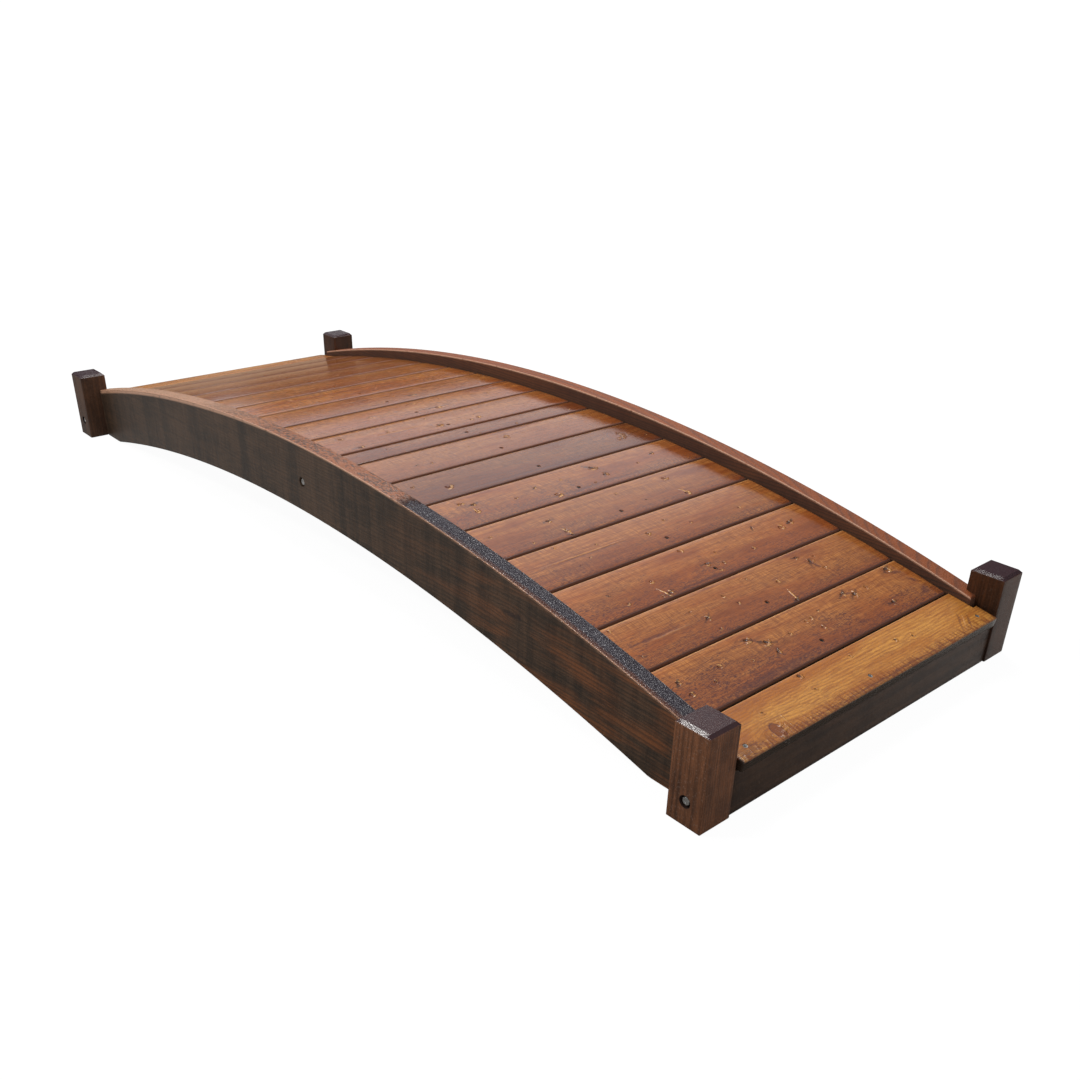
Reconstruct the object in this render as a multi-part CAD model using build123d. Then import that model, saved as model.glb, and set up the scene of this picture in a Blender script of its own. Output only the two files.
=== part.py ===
from build123d import *
import os
from math import asin, cos, degrees, floor, radians, sin, sqrt, tan

# Low arched garden bridge of timber: two arched stringers that stand proud of the deck as curbs,
# cross boards on an arched bearer and two ledgers, and a short post outside each stringer end.
# Frame: X along the bridge, Y across it, Z up, origin on the ground in the middle. Millimetres.

# Overall sizes, measured over the posts
bridge_length = 2455
bridge_width = 912

# Posts
post_depth = 70
post_width = 70
post_height = 180
post_chamfer = 6
post_notch = 21
post_bolt_height = 44.5

# Stringers: the top edge and the underside are arcs. The top edge meets the post at its end height,
# and the underside comes down to the flat foot beside the post.
stringer_thickness = 40
stringer_apex = 278
stringer_depth = 154
stringer_end_height = 133.2
foot_length = 85
curb_end_inset = 47.5
curb_end_radius = 6

# Bolt pockets in the posts' and the stringers' outer faces
pocket_diameter = 22
pocket_depth = 12

# Deck: the curb's height at mid-span and at the end boards sets how deep it lies
curb_height = 33.5
curb_height_at_end = 17
board_width = 125
board_thickness = 21
board_gap = 5
board_side_gap = 4
board_edge_radius = 2
narrowest_filler = 30
seat_gap = 0.1

# End boards and the fascias under them
end_board_width = 103
end_board_tilt = 10
end_board_overhang = 8
end_board_post_gap = 8
end_board_edge_radius = 3
curb_notch_gap = 10
fascia_thickness = 21
fascia_recess = 3.5
fascia_side_gap = 0.5

# Bearer, ledgers and cross blocks under the deck
bearer_width = 40
bearer_depth = 70
ledger_width = 30
ledger_depth = 40
block_thickness = 45
block_depth = 56
block_drop = 2

# Places along the bridge, from the middle to the +X end
half_length = bridge_length / 2
curb_end = half_length - curb_end_inset
fascia_front = half_length - fascia_recess
fascia_back = fascia_front - fascia_thickness
post_center = half_length - post_depth / 2
post_face = half_length - post_depth
foot_start = post_face - foot_length

# Places across the bridge, from the middle to one side
half_width = bridge_width / 2
post_inner = half_width - post_width
stringer_outer = post_inner + post_notch
stringer_inner = stringer_outer - stringer_thickness
board_half_length = stringer_inner - board_side_gap
end_board_half_length = post_inner - end_board_post_gap
ledger_inner = stringer_inner - ledger_width

# Heights at mid-span
under_apex = stringer_apex - stringer_depth
deck_apex = stringer_apex - curb_height
bearer_apex = deck_apex - board_thickness - seat_gap
block_top = bearer_apex - block_drop
tie_bolt_height = block_top - block_depth / 2


def arc_radius(reach, rise):
    """Radius of an arc that rises this much between ends that lie at reach on each side."""
    return (reach**2 + rise**2) / (2 * rise)


def arc_height(apex, radius, x):
    """Height at x of an arc that is level at mid-span, where it is apex high."""
    return apex - radius + sqrt(radius**2 - x**2)


def arch(apex, radius, reach):
    """The arc itself, from the -X end to the +X end."""
    end_height = arc_height(apex, radius, reach)
    return ThreePointArc((-reach, end_height), (0, apex), (reach, end_height))


def carry_across(outline, y_low, y_high):
    """Carry a face drawn in X and Z across the bridge, from y_low to y_high."""
    middle = (y_low + y_high) / 2
    upright = Plane((0, middle, 0), x_dir=(1, 0, 0), z_dir=(0, -1, 0))
    return extrude(upright * outline, (y_high - y_low) / 2, both=True)


def bolt_pocket(x, y_face, z):
    """A blind round pocket in a face that looks towards -Y."""
    pocket = Cylinder(pocket_diameter / 2, 2 * pocket_depth)
    return Pos(x, y_face, z) * Rot(90, 0, 0) * pocket


# The arcs, and the end board's upper back edge, which lies on the deck's arc
tilt = radians(end_board_tilt)
end_board_back = half_length + end_board_overhang - end_board_width * cos(tilt)
top_radius = arc_radius(post_face, stringer_apex - stringer_end_height)
under_radius = arc_radius(foot_start, under_apex)
end_board_top = arc_height(stringer_apex, top_radius, end_board_back) - curb_height_at_end
deck_radius = arc_radius(end_board_back, deck_apex - end_board_top)


def seat_height(x):
    """Height at x of the plane on which the end board lies."""
    return end_board_top - board_thickness / cos(tilt) - (x - end_board_back) * tan(tilt)


def make_stringer():
    """Arched beam on the -Y side, with a seat for the end board below each curb end."""
    curb_top = arc_height(stringer_apex, top_radius, curb_end)

    def end_lines(side):
        return Polyline(
            (side * curb_end, curb_top),
            (side * curb_end, seat_height(curb_end)),
            (side * fascia_back, seat_height(fascia_back)),
            (side * fascia_back, 0),
            (side * foot_start, 0),
        ).edges()

    outline = make_face(
        [
            arch(stringer_apex, top_radius, curb_end),
            *end_lines(1),
            arch(under_apex, under_radius, foot_start),
            *end_lines(-1),
        ]
    )

    def off_curb_end(vertex):
        return (abs(vertex.X) - curb_end) ** 2 + (vertex.Y - curb_top) ** 2

    both_curb_ends = sorted(outline.vertices(), key=off_curb_end)[:2]
    outline = fillet(both_curb_ends, curb_end_radius)
    return carry_across(outline, -stringer_outer, -stringer_inner)


def make_post(stringer):
    """Post at the -Y, +X corner, with chamfered top, cut out where the stringer passes."""
    blank = Pos(post_center, -half_width + post_width / 2, post_height / 2) * Box(
        post_depth, post_width, post_height
    )
    blank = chamfer(blank.faces().sort_by(Axis.Z)[-1].edges(), post_chamfer)
    return blank - stringer - bolt_pocket(post_center, -half_width, post_bolt_height)


def make_deck_board(width, angle):
    """Flat board across the bridge, its top touching the deck's arc at this angle from the middle."""
    section = RectangleRounded(width, board_thickness, board_edge_radius)
    center_radius = deck_radius - board_thickness / 2
    center_x = center_radius * sin(angle)
    center_z = deck_apex - deck_radius + center_radius * cos(angle)
    section = Pos(center_x, center_z) * Rot(0, 0, -degrees(angle)) * section
    return carry_across(section, -board_half_length, board_half_length)


def deck_board_places():
    """Width and angle of each deck board between the end boards, from -X to +X.

    As many full boards as fit are laid from both ends, and a filler board takes what is left.
    """
    half_run = deck_radius * asin(end_board_back / deck_radius)
    pitch = board_width + board_gap
    run = 2 * half_run - board_gap
    full_boards = floor((run - narrowest_filler) / pitch)
    filler_width = run - full_boards * pitch - board_gap
    widths = [board_width] * full_boards
    widths.insert(full_boards - full_boards // 2, filler_width)
    places = []
    start = -half_run + board_gap
    for width in widths:
        places.append((width, (start + width / 2) / deck_radius))
        start += width + board_gap
    return places


def make_end_board():
    """Board at the +X end, notched round the curb ends and tilted on its seat."""
    notch_reach = (curb_end + curb_notch_gap - end_board_back) / cos(tilt)
    plan = make_face(
        Polyline(
            (0, -board_half_length),
            (notch_reach, -board_half_length),
            (notch_reach, -end_board_half_length),
            (end_board_width, -end_board_half_length),
            (end_board_width, end_board_half_length),
            (notch_reach, end_board_half_length),
            (notch_reach, board_half_length),
            (0, board_half_length),
            close=True,
        )
    )
    board = extrude(plan, -board_thickness)
    front_edges = board.faces().sort_by(Axis.X)[-1].edges().filter_by(Axis.Y)
    board = fillet(front_edges, end_board_edge_radius)
    return Pos(end_board_back, 0, end_board_top) * Rot(0, end_board_tilt, 0) * board


def make_end_fascia():
    """Upright board between the posts at the +X end, its top cut to the end board's slope."""
    outline = make_face(
        Polyline(
            (fascia_back, 0),
            (fascia_front, 0),
            (fascia_front, seat_height(fascia_front)),
            (fascia_back, seat_height(fascia_back)),
            close=True,
        )
    )
    reach = post_inner - fascia_side_gap
    return carry_across(outline, -reach, reach)


def make_arched_strip(depth, y_low, y_high):
    """Strip under the deck from fascia to fascia, its top and underside on the deck's centre."""
    strip_radius = deck_radius - board_thickness - seat_gap
    top = arch(bearer_apex, strip_radius, fascia_back)
    underside = arch(bearer_apex - depth, strip_radius - depth, fascia_back)
    ends = [Line(top @ 0, underside @ 0), Line(top @ 1, underside @ 1)]
    return carry_across(make_face([top, underside, *ends]), y_low, y_high)


def make_cross_block():
    """Block at mid-span between the ledger on the -Y side and the bearer."""
    reach = ledger_inner - bearer_width / 2
    center_y = -(ledger_inner + bearer_width / 2) / 2
    return Pos(0, center_y, tie_bolt_height) * Box(block_thickness, reach, block_depth)


def build_bridge():
    """All sub-parts of the bridge by name."""
    beam = make_stringer()
    stringer = beam - bolt_pocket(0, -stringer_outer, tie_bolt_height)
    post = make_post(beam)
    ledger = make_arched_strip(ledger_depth, -stringer_inner, -ledger_inner)
    block = make_cross_block()
    end_board = make_end_board()
    fascia = make_end_fascia()
    parts = {
        "stringer_front": stringer,
        "stringer_back": mirror(stringer, about=Plane.XZ),
        "post_front_right": post,
        "post_front_left": mirror(post, about=Plane.YZ),
        "post_back_right": mirror(post, about=Plane.XZ),
        "post_back_left": mirror(mirror(post, about=Plane.XZ), about=Plane.YZ),
        "end_board_right": end_board,
        "end_board_left": mirror(end_board, about=Plane.YZ),
        "end_fascia_right": fascia,
        "end_fascia_left": mirror(fascia, about=Plane.YZ),
        "centre_bearer": make_arched_strip(bearer_depth, -bearer_width / 2, bearer_width / 2),
        "side_ledger_front": ledger,
        "side_ledger_back": mirror(ledger, about=Plane.XZ),
        "cross_block_front": block,
        "cross_block_back": mirror(block, about=Plane.XZ),
    }
    for number, (width, angle) in enumerate(deck_board_places(), start=1):
        parts[f"deck_board_{number:02d}"] = make_deck_board(width, angle)
    return parts


os.makedirs("parts", exist_ok=True)
for name, solid in build_bridge().items():
    export_step(solid, f"parts/{name}.step")
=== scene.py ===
"""Stained timber looks for a low arched garden bridge.

Boards, end boards, arched beams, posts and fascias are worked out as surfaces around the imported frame, with
the screws and bolts that hold them, and stand on a plain pale studio floor. Metres, X along the bridge, Z up.
"""

import math

import bpy
import numpy as np
from bpy.props import FloatProperty, FloatVectorProperty, PointerProperty
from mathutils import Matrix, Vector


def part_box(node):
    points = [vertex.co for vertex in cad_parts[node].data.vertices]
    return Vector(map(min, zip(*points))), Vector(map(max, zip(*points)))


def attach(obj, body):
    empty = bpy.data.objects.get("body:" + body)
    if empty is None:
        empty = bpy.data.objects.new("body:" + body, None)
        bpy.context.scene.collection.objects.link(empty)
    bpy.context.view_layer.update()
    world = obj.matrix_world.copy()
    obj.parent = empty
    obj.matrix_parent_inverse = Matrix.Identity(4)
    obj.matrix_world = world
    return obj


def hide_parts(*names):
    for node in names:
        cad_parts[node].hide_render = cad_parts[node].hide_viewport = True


bl_info = {
    "name": "Arched Garden Bridge",
    "version": (1, 0, 0),
    "blender": (4, 5, 0),
    "location": "View3D > Sidebar > Bridge",
    "description": "Stained boards, beams, posts and fasteners of a low arched garden bridge",
    "category": "Add Mesh",
}

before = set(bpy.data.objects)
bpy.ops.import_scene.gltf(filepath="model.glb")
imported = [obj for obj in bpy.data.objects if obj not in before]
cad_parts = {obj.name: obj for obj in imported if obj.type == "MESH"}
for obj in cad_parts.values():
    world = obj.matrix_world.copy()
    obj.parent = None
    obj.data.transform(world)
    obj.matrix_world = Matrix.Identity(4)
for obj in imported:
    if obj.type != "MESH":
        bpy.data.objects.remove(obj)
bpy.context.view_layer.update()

BODY = "root"
DECK_NODES = sorted(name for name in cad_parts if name.startswith("deck_board_"))
FILLER_NODE = min(DECK_NODES, key=lambda name: (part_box(name)[1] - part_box(name)[0]).x)

# Knots seen on the deck boards, by board number: along the board and across it from its middle, and radius,
# in millimetres, negative for a knot that is dark. Positive along is towards the back beam, positive across
# towards the +X end.
DECK_KNOTS = {
    5: [(-54, 50, 5), (210, -20, 4)],
    6: [(-175, -32, 7), (257, -50, 5), (60, 10, 3)],
    7: [(84, 20, 7), (-210, -20, 4)],
    8: [(36, -41, 7), (60, 30, 9), (-118, -2, 5), (-55, -14, 4), (240, 5, 4)],
    9: [(-24, 22, 9), (-267, -28, 7), (-152, -9, 5), (-260, 46, 8), (89, 28, 6), (-23, -39, 4)],
    10: [(133, 20, 4), (21, 24, 3), (-220, -8, 3)],
    11: [(49, -17, 8), (300, -52, 4), (-190, 20, 3)],
    12: [(270, -9, 19), (-239, 14, 9), (-304, -23, 5)],
    13: [
        (90, -28, -10), (91, 14, -7), (-270, -35, 8), (-251, -18, 6), (-262, 11, 6), (-67, 37, 10),
        (-155, 5, 4), (-90, -13, 4), (199, 7, 4), (266, -16, 5),
    ],
    14: [
        (-168, -11, 6), (-162, 39, 8), (-160, 57, 6), (190, -33, 8), (183, 44, 7), (-310, -17, 4),
        (40, -30, 3),
    ],
    15: [(-28, 1, 6), (43, -23, 4), (87, 12, 4), (-150, -20, 3), (-230, 25, 3), (230, 20, 4)],
    16: [
        (-152, 4, 5), (-146, 48, 6), (123, 21, 5), (40, -8, 4), (26, 28, 4), (243, -7, 8), (279, -12, 7),
        (184, -35, 4), (-21, -47, 6), (-10, 14, 6), (-258, -2, 3), (-243, 35, 4),
    ],
    17: [
        (-66, -23, 5), (-146, 11, 6), (-161, -18, 4), (-148, 45, 4), (-57, 7, 4), (69, -2, 5), (57, 56, 6),
        (190, -17, -8), (198, 12, 6), (173, -41, 5), (-332, 29, 3), (20, -40, 3),
    ],
    18: [
        (-133, -38, -8), (-105, -16, -9), (-106, 14, -6), (-233, -12, 5), (-329, -18, 6), (-330, 14, 6),
        (-269, 13, 5), (31, -21, 5), (63, -30, 3), (31, 9, 5), (-44, -10, 4), (152, -40, 7),
        (176, -28, -8), (219, -32, 6), (227, 28, -7), (313, -50, -9),
    ],
}
# Long marks seen on the deck boards, by board number: along and across, half length, half width, in
# millimetres, turn from along towards across in degrees, and strength, positive for a pale ridge and negative
# for a dark streak
DECK_MARKS = {
    7: [(-60, -22, 60, 3, 0, -1)],
    8: [(60, 26, 70, 5, 0, -1), (20, -6, 60, 3, 0, 0.4)],
    9: [(-262, 46, 24, 5, 0, -1), (-130, 2, 70, 3, 0, 0.4)],
    12: [(-60, 46, 260, 5, 0, -1)],
    13: [(0, 42, 220, 7, 0, -1), (83, -27, 24, 5, 64, -1), (-261, 6, 14, 2, 106, 1)],
    14: [(-161, 42, 21, 2.4, 76, 1), (185, 36, 18, 2.4, 75, 1)],
    15: [(-193, -6, 140, 2.0, 0, 0.45), (-150, -1, 150, 1.8, 0, -1)],
    16: [(-154, 46, 22, 2.6, 75, 1), (-60, 52, 120, 5, 0, -1)],
    17: [
        (62, 44, 23, 2.6, 103, 1), (-283, 2, 72, 5, 0, -1), (-240, 8, 70, 2.4, 0, 0.25),
        (189, -5, 25, 4, 57, -1),
    ],
    18: [
        (-150, 50, 160, 9, 0, -1), (-119, -27, 19, 4, 43, -1), (167, -34, 16, 4, 15, -1),
        (225, 31, 13, 5, 52, -1), (322, -34, 24, 8, 20, -1), (336, 2, 18, 7, 60, -1),
        (325, 36, 24, 8, -20, -1),
    ],
}
# The same for the end boards
END_BOARD_KNOTS = [
    (-270, 30, 15), (5, -30, 4), (-129, -4, 4), (-259, -12, 4), (124, -15, 5), (-126, -42, 7),
    (167, -5, 4),
]
END_BOARD_MARKS = [
    (294, 18, 36, 3.6, 135, -0.7), (312, 28, 30, 3.6, 135, -0.8), (303, 23, 26, 3.0, 135, 0.5),
    (-247, 26, 22, 1.4, 100, 1), (-238, 20, 16, 1.2, 95, 1), (30, 44, 320, 4, 0, -1),
    (-345, 36, 62, 22, 0, -0.6),
]

# Radius from which a knot shows its own rings, and the most that a smaller knot is turned
BIG_KNOT = 0.012
KNOT_TURN = math.radians(50)
# A knot's look: how far it smears along the grain, how dark its core is and how pale its lip is, the lip's
# paleness being a painted highlight on its side towards the light. Chance looks lie between the first two, and
# a smear below its limit is left out
LOWEST_LOOK = (0.0, 0.10, 0.6)
HIGHEST_LOOK = (1.0, 0.50, 1.0)
SMEAR_LIMIT = 0.85
DARK_LOOK = (0.7, 0.95, 0.6)
BIG_LOOK = (0.0, 0.0, 0.3)
# Angle from which an edge is drawn as sharp
SHARP_ANGLE = math.radians(32)

# Brightness as a factor, and redness and edge stain as shares, of each deck board from the -X end
DECK_TONES = (
    (0.78, 0.2, 0.2), (0.83, 0.2, 0.3), (0.87, 0.2, 0.3), (0.89, 0.1, 0.3), (0.99, 0.0, 0.3),
    (1.07, 0.0, 0.2), (0.95, 0.1, 0.4), (0.96, 0.2, 0.3), (0.9, 0.3, 0.3), (0.64, 0.8, 0.4),
    (0.8, 0.5, 0.3), (0.56, 0.9, 0.6), (0.88, 0.5, 0.9), (0.86, 0.4, 0.6), (0.93, 0.3, 0.6),
    (1.01, 0.4, 0.7), (0.98, 0.2, 0.6), (1.02, 0.2, 1.0),
)
END_BOARD_TONE = (1.0, 0.0, 0.25)
# Tint of each post
POST_TONES = {
    "front_right": (1.95, 2.1, 2.2),
    "back_right": (0.7, 0.7, 0.7),
    "front_left": (0.95, 1.15, 1.35),
    "back_left": (0.7, 0.7, 0.7),
}


# Sizes, colours and stage values that a user would change


def length(label, note, metres):
    """A length property in metres."""
    return FloatProperty(name=label, description=note, default=metres, min=0.0, unit="LENGTH", precision=4)


def colour(label, note, red, green, blue):
    """A colour property, as linear red, green and blue."""
    return FloatVectorProperty(
        name=label, description=note, default=(red, green, blue), size=3, min=0.0, max=1.0, subtype="COLOR"
    )


def place(label, note, x, y, z):
    """A place property in metres."""
    return FloatVectorProperty(name=label, description=note, default=(x, y, z), unit="LENGTH")


def number(label, note, value):
    """A plain number property."""
    return FloatProperty(name=label, description=note, default=value)


class BridgeSizes(bpy.types.PropertyGroup):
    """Sizes of the timber and of the fasteners."""

    board_thickness: length("Board thickness", "Thickness of deck and end boards", 0.021)
    board_edge: length("Board edge", "Radius of the boards' eased edges", 0.0032)
    board_cup: length("Board crown", "Most that a deck board rises in its middle", 0.0013)
    board_play: length("Board play", "Most that a deck board is narrower than its place", 0.0016)
    end_board_width: length("End board width", "Width of the tilted end boards", 0.103)
    end_board_edge: length("End board edge", "Radius of the end boards' edges", 0.003)
    end_board_tilt: FloatProperty(
        name="End board tilt", description="Slope of the end boards", default=math.radians(10),
        subtype="ANGLE",
    )
    curb_notch_gap: length("Curb notch gap", "Room between a curb end and the end board's notch", 0.010)
    beam_depth: length("Beam depth", "Depth of the arched beams at mid-span", 0.154)
    beam_end_height: length("Beam end height", "Height of the beams' top where they meet the posts", 0.1332)
    beam_edge: length("Beam edge", "Radius of the beams' arrises", 0.003)
    foot_length: length("Foot length", "Flat underside of the beams beside each post", 0.085)
    curb_end_inset: length("Curb end inset", "From the post's outer face to the curb's end", 0.0475)
    curb_end_radius: length("Curb end radius", "Rounding of the curb's upper end corner", 0.006)
    post_chamfer: length("Post chamfer", "Chamfer round the post tops", 0.006)
    post_edge: length("Post edge", "Radius of the posts' upright edges", 0.0012)
    post_bolt_height: length("Post bolt height", "Height of the bolts in the posts", 0.0445)
    tie_bolt_height: length("Tie bolt height", "Height of the bolts in the middle of the beams", 0.1934)
    pocket_diameter: length("Pocket diameter", "Width of the bolt pockets", 0.022)
    pocket_depth: length("Pocket depth", "Depth of the bolt pockets", 0.012)
    bolt_width: length("Bolt width", "Hexagon bolt head across its flats", 0.0138)
    bolt_head: length("Bolt head", "Height of the bolt heads", 0.0078)
    washer_diameter: length("Washer diameter", "Width of the bolts' washers", 0.0195)
    washer_thickness: length("Washer thickness", "Thickness of the bolts' washers", 0.0016)
    screw_diameter: length("Screw diameter", "Width of the screw heads", 0.0088)
    screw_offset: length("Screw offset", "From a deck board's middle to its screw, towards +X", 0.033)
    end_screw_inset: length("End screw inset", "From an end board's front edge to its screws", 0.026)
    end_screw_reach: length("End screw reach", "From the middle to an end board's outer screws", 0.345)


class BridgeFinish(bpy.types.PropertyGroup):
    """Colours of the stained timber and of the steel."""

    board_light: colour("Board, light", "Pale streaks of the deck boards", 0.51, 0.20, 0.046)
    board_mid: colour("Board, middle", "Main colour of the deck boards", 0.345, 0.1, 0.021)
    board_dark: colour("Board, dark", "Late wood of the deck boards", 0.16, 0.04, 0.011)
    board_stain: colour("Board stain", "Dark stain along the boards' lower edges", 0.085, 0.026, 0.02)
    board_arris: colour("Board arris", "Stain that gathers on the boards' lower arris", 0.075, 0.026, 0.016)
    # Brightened to stand in for the light that reaches into the gaps between the deck boards
    board_side_with_painted_light: colour("Board sides", "Stained edge faces of the boards", 0.17, 0.068, 0.034)
    # Colour of the knot cores, also painted as the shade inside the posts' bolt pockets
    knot_core_and_pocket_shade: colour("Knot core", "Middle of the knots", 0.022, 0.013, 0.013)
    # Pale wood of ridges, also painted as highlights on the knot lips and on the boards' -X arris
    pale_wood_and_highlight: colour("Knot rim", "Pale wood round the knots", 0.74, 0.4, 0.15)
    end_light: colour("End board, light", "Pale streaks of the end boards", 0.62, 0.285, 0.058)
    end_mid: colour("End board, middle", "Main colour of the end boards", 0.42, 0.145, 0.024)
    end_dark: colour("End board, dark", "Late wood of the end boards", 0.25, 0.075, 0.018)
    # Also painted as the shade deep in the gaps between deck boards and at the boards' ends
    end_side_and_gap_shade: colour("End board sides", "Dark stained edge faces of the end boards", 0.032, 0.019, 0.012)
    beam_dark: colour("Beam, dark", "Darkest stain of the beams", 0.027, 0.018, 0.012)
    beam_brown: colour("Beam, brown", "Brown grain of the beams", 0.105, 0.058, 0.032)
    beam_warm: colour("Beam, warm", "Orange streaks near the beams' ends", 0.27, 0.085, 0.022)
    beam_red: colour("Beam, red", "Reddish stain of the back beam", 0.115, 0.037, 0.017)
    curb_worn: colour("Curb, worn", "Worn top of the curbs", 0.3, 0.095, 0.034)
    # Partly worn wood, partly a painted highlight along the beams' arrises
    arris_wear_and_glint: colour("Arris, worn", "Rubbed upper arrises of the beams", 0.50, 0.28, 0.18)
    curb_dark: colour("Curb, dark", "Thick stain on the curb's top", 0.032, 0.026, 0.034)
    # Painted highlight: pale specks that stand in for glints on the curb's grit
    curb_painted_glints: colour("Curb sparkle", "Pale grains in the thick stain on the curb's top", 0.36, 0.35, 0.38)
    post_top: colour("Post top", "Thick stain on the post tops", 0.026, 0.007, 0.012)
    post_dark: colour("Post, dark", "Darkest stain of the posts", 0.03, 0.012, 0.006)
    post_speck: colour("Post specks", "Pale rough specks of the posts and fascias", 0.17, 0.105, 0.075)
    post_brown: colour("Post, brown", "Grain of the posts", 0.13, 0.046, 0.018)
    fascia_dark: colour("Fascia, dark", "Stain of the fascias", 0.02, 0.01, 0.006)
    fascia_brown: colour("Fascia, brown", "Grain of the fascias", 0.08, 0.04, 0.021)
    frame_light: colour("Frame, light", "Pale grain of the frame under the deck", 0.36, 0.20, 0.10)
    frame_dark: colour("Frame, dark", "Dark grain of the frame under the deck", 0.17, 0.075, 0.036)
    curb_orange: colour("Curb, orange", "Top of the back beam's curb", 0.23, 0.05, 0.006)
    zinc: colour("Zinc", "Zinc coated steel of the bolts and end screws", 0.66, 0.65, 0.63)
    dark_steel: colour("Dark steel", "Dark screws of the deck", 0.030, 0.024, 0.022)


class BridgeStage(bpy.types.PropertyGroup):
    """Camera and light of the studio."""

    camera_place: place("Camera place", "Where the camera stands", 2.0243, -1.4997, 1.0441)
    camera_turn: FloatVectorProperty(
        name="Camera turn",
        description="How the camera is turned",
        default=tuple(math.radians(angle) for angle in (60.212, -1.254, 48.805)),
        subtype="EULER",
    )
    camera_lens: number("Camera lens", "Focal length on a 36 mm wide sensor", 35.878)
    camera_shift_x: number("Shift X", "Sideways shift of the picture", -0.00282)
    camera_shift_y: number("Shift Y", "Upward shift of the picture", 0.10913)
    key_place: place("Key light place", "Where the soft light hangs", -0.8, 1.3, 4.2)
    glint_place: place("Glint light place", "Where the small light hangs", -1.11, -2.84, 3.18)
    far_glint_place: place("Far glint place", "Where the light for the back posts hangs", -0.28, -1.11, 3.57)
    glint_watts: number("Glint light", "Strength of the small light that glints on arrises, in watts", 60.0)
    key_watts: number("Key light", "Strength of the soft light, in watts", 100.0)
    sky_level: number("Sky level", "Brightness of the pale sky over the far side", 1.18)
    floor_shade: number("Floor shade", "Share of the floor's own shading that the camera sees", 0.08)


# Surfaces

# Points on a quarter circle of an outline, of a board's end and of a curb's end, and along half an arch
OUTLINE_QUARTER = 5
BOARD_QUARTER = 4
CURB_QUARTER = 6
ARCH_POINTS = 120
# Steps across a board's width and thickness, and across a beam's thickness and height
BOARD_STEPS = (14, 3)
BEAM_STEPS = (8, 14)
# Points round a pocket, a bolt, a screw and its countersink
POCKET_TURNS = 48
BOLT_TURNS = 72
SCREW_TURNS = 48
COUNTERSINK_TURNS = 32


def grid(x, y, z):
    """Points from their three parts, which are spread to one shape."""
    return np.stack(np.broadcast_arrays(x, y, z), axis=-1)


def corner_span(node):
    """Lowest and highest corner of a node of the frame, as arrays."""
    lowest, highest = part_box(node)
    return np.array(lowest), np.array(highest)


def arc_radius(reach, rise):
    """Radius of an arc that rises this much between ends that lie at reach on each side."""
    return (reach**2 + rise**2) / (2 * rise)


def arc_height(apex, radius, x):
    """Height at x of an arc that is level at mid-span, where it is apex high."""
    return apex - radius + np.sqrt(radius**2 - x**2)


def rounded_outline(width, height, radius, width_steps, height_steps):
    """Outline of a rectangle with round corners, counter-clockwise from its lower right corner.

    Each corner is a quarter circle, and the straight run after it is divided into equal steps.
    """
    quarter = np.linspace(0, math.pi / 2, OUTLINE_QUARTER)
    reach = np.array([width, height]) / 2 - radius
    signs = np.array([(1, -1), (1, 1), (-1, 1), (-1, -1)])
    arcs = []
    for turn, sign in enumerate(signs):
        angle = quarter + (turn - 1) * math.pi / 2
        arcs.append(sign * reach + radius * np.column_stack([np.cos(angle), np.sin(angle)]))
    stretches = []
    for turn, arc in enumerate(arcs):
        steps = (height_steps, width_steps)[turn % 2]
        share = np.linspace(0, 1, steps + 1)[1:-1, None]
        run = arc[-1] * (1 - share) + arcs[(turn + 1) % len(arcs)][0] * share
        stretches += [arc, run]
    return np.concatenate(stretches)


def skin(rings):
    """Points, quads and triangles of a closed surface over a stack of rings: each end is closed by a fan.

    The faces are turned round if the volume that they close comes out negative.
    """
    rows, columns, _ = rings.shape
    points = np.concatenate([rings.reshape(-1, 3), rings[[0, -1]].mean(axis=1)])
    here = np.arange(columns)
    ahead = (here + 1) % columns
    start = np.arange(rows - 1)[:, None] * columns
    quads = np.stack([start + here, start + ahead, start + columns + ahead, start + columns + here], -1)
    quads = quads.reshape(-1, 4)
    last = (rows - 1) * columns
    low_fan = np.column_stack([ahead, here, np.full(columns, rows * columns)])
    high_fan = np.column_stack([here + last, ahead + last, np.full(columns, rows * columns + 1)])
    fans = np.concatenate([low_fan, high_fan])
    corners = points[np.concatenate([quads[:, [0, 1, 2]], quads[:, [0, 2, 3]], fans])]
    volume = np.einsum("ij,ij->", corners[:, 0], np.cross(corners[:, 1], corners[:, 2]))
    step = 1 if volume > 0 else -1
    return points, quads[:, ::step], fans[:, ::step]


def mesh_of(name, *skins):
    """One mesh of one or more skins, each with its own points."""
    points, quads, fans, start = [], [], [], 0
    for skin_points, skin_quads, skin_fans in skins:
        points.append(skin_points)
        quads.append(skin_quads + start)
        fans.append(skin_fans + start)
        start += len(skin_points)
    mesh = bpy.data.meshes.new(name)
    faces = np.concatenate(quads).tolist() + np.concatenate(fans).tolist()
    mesh.from_pydata(np.concatenate(points).tolist(), [], faces)
    return mesh


def cut_away(name, blank_skin, *cutter_skins):
    """Mesh of a skin with the cutters' room taken out of it, by Boolean modifiers applied at once."""
    collection = bpy.context.scene.collection
    blank = bpy.data.objects.new("blank", mesh_of("blank", blank_skin))
    collection.objects.link(blank)
    scraps = [blank]
    for cutter_skin in cutter_skins:
        cutter = bpy.data.objects.new("cutter", mesh_of("cutter", cutter_skin))
        collection.objects.link(cutter)
        cut = blank.modifiers.new("cut", "BOOLEAN")
        cut.operation = "DIFFERENCE"
        cut.solver = "EXACT"
        cut.object = cutter
        scraps.append(cutter)
    graph = bpy.context.evaluated_depsgraph_get()
    result = bpy.data.meshes.new_from_object(blank.evaluated_get(graph))
    result.name = name
    for scrap in scraps:
        scrap_mesh = scrap.data
        bpy.data.objects.remove(scrap)
        bpy.data.meshes.remove(scrap_mesh)
    return result


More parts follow.
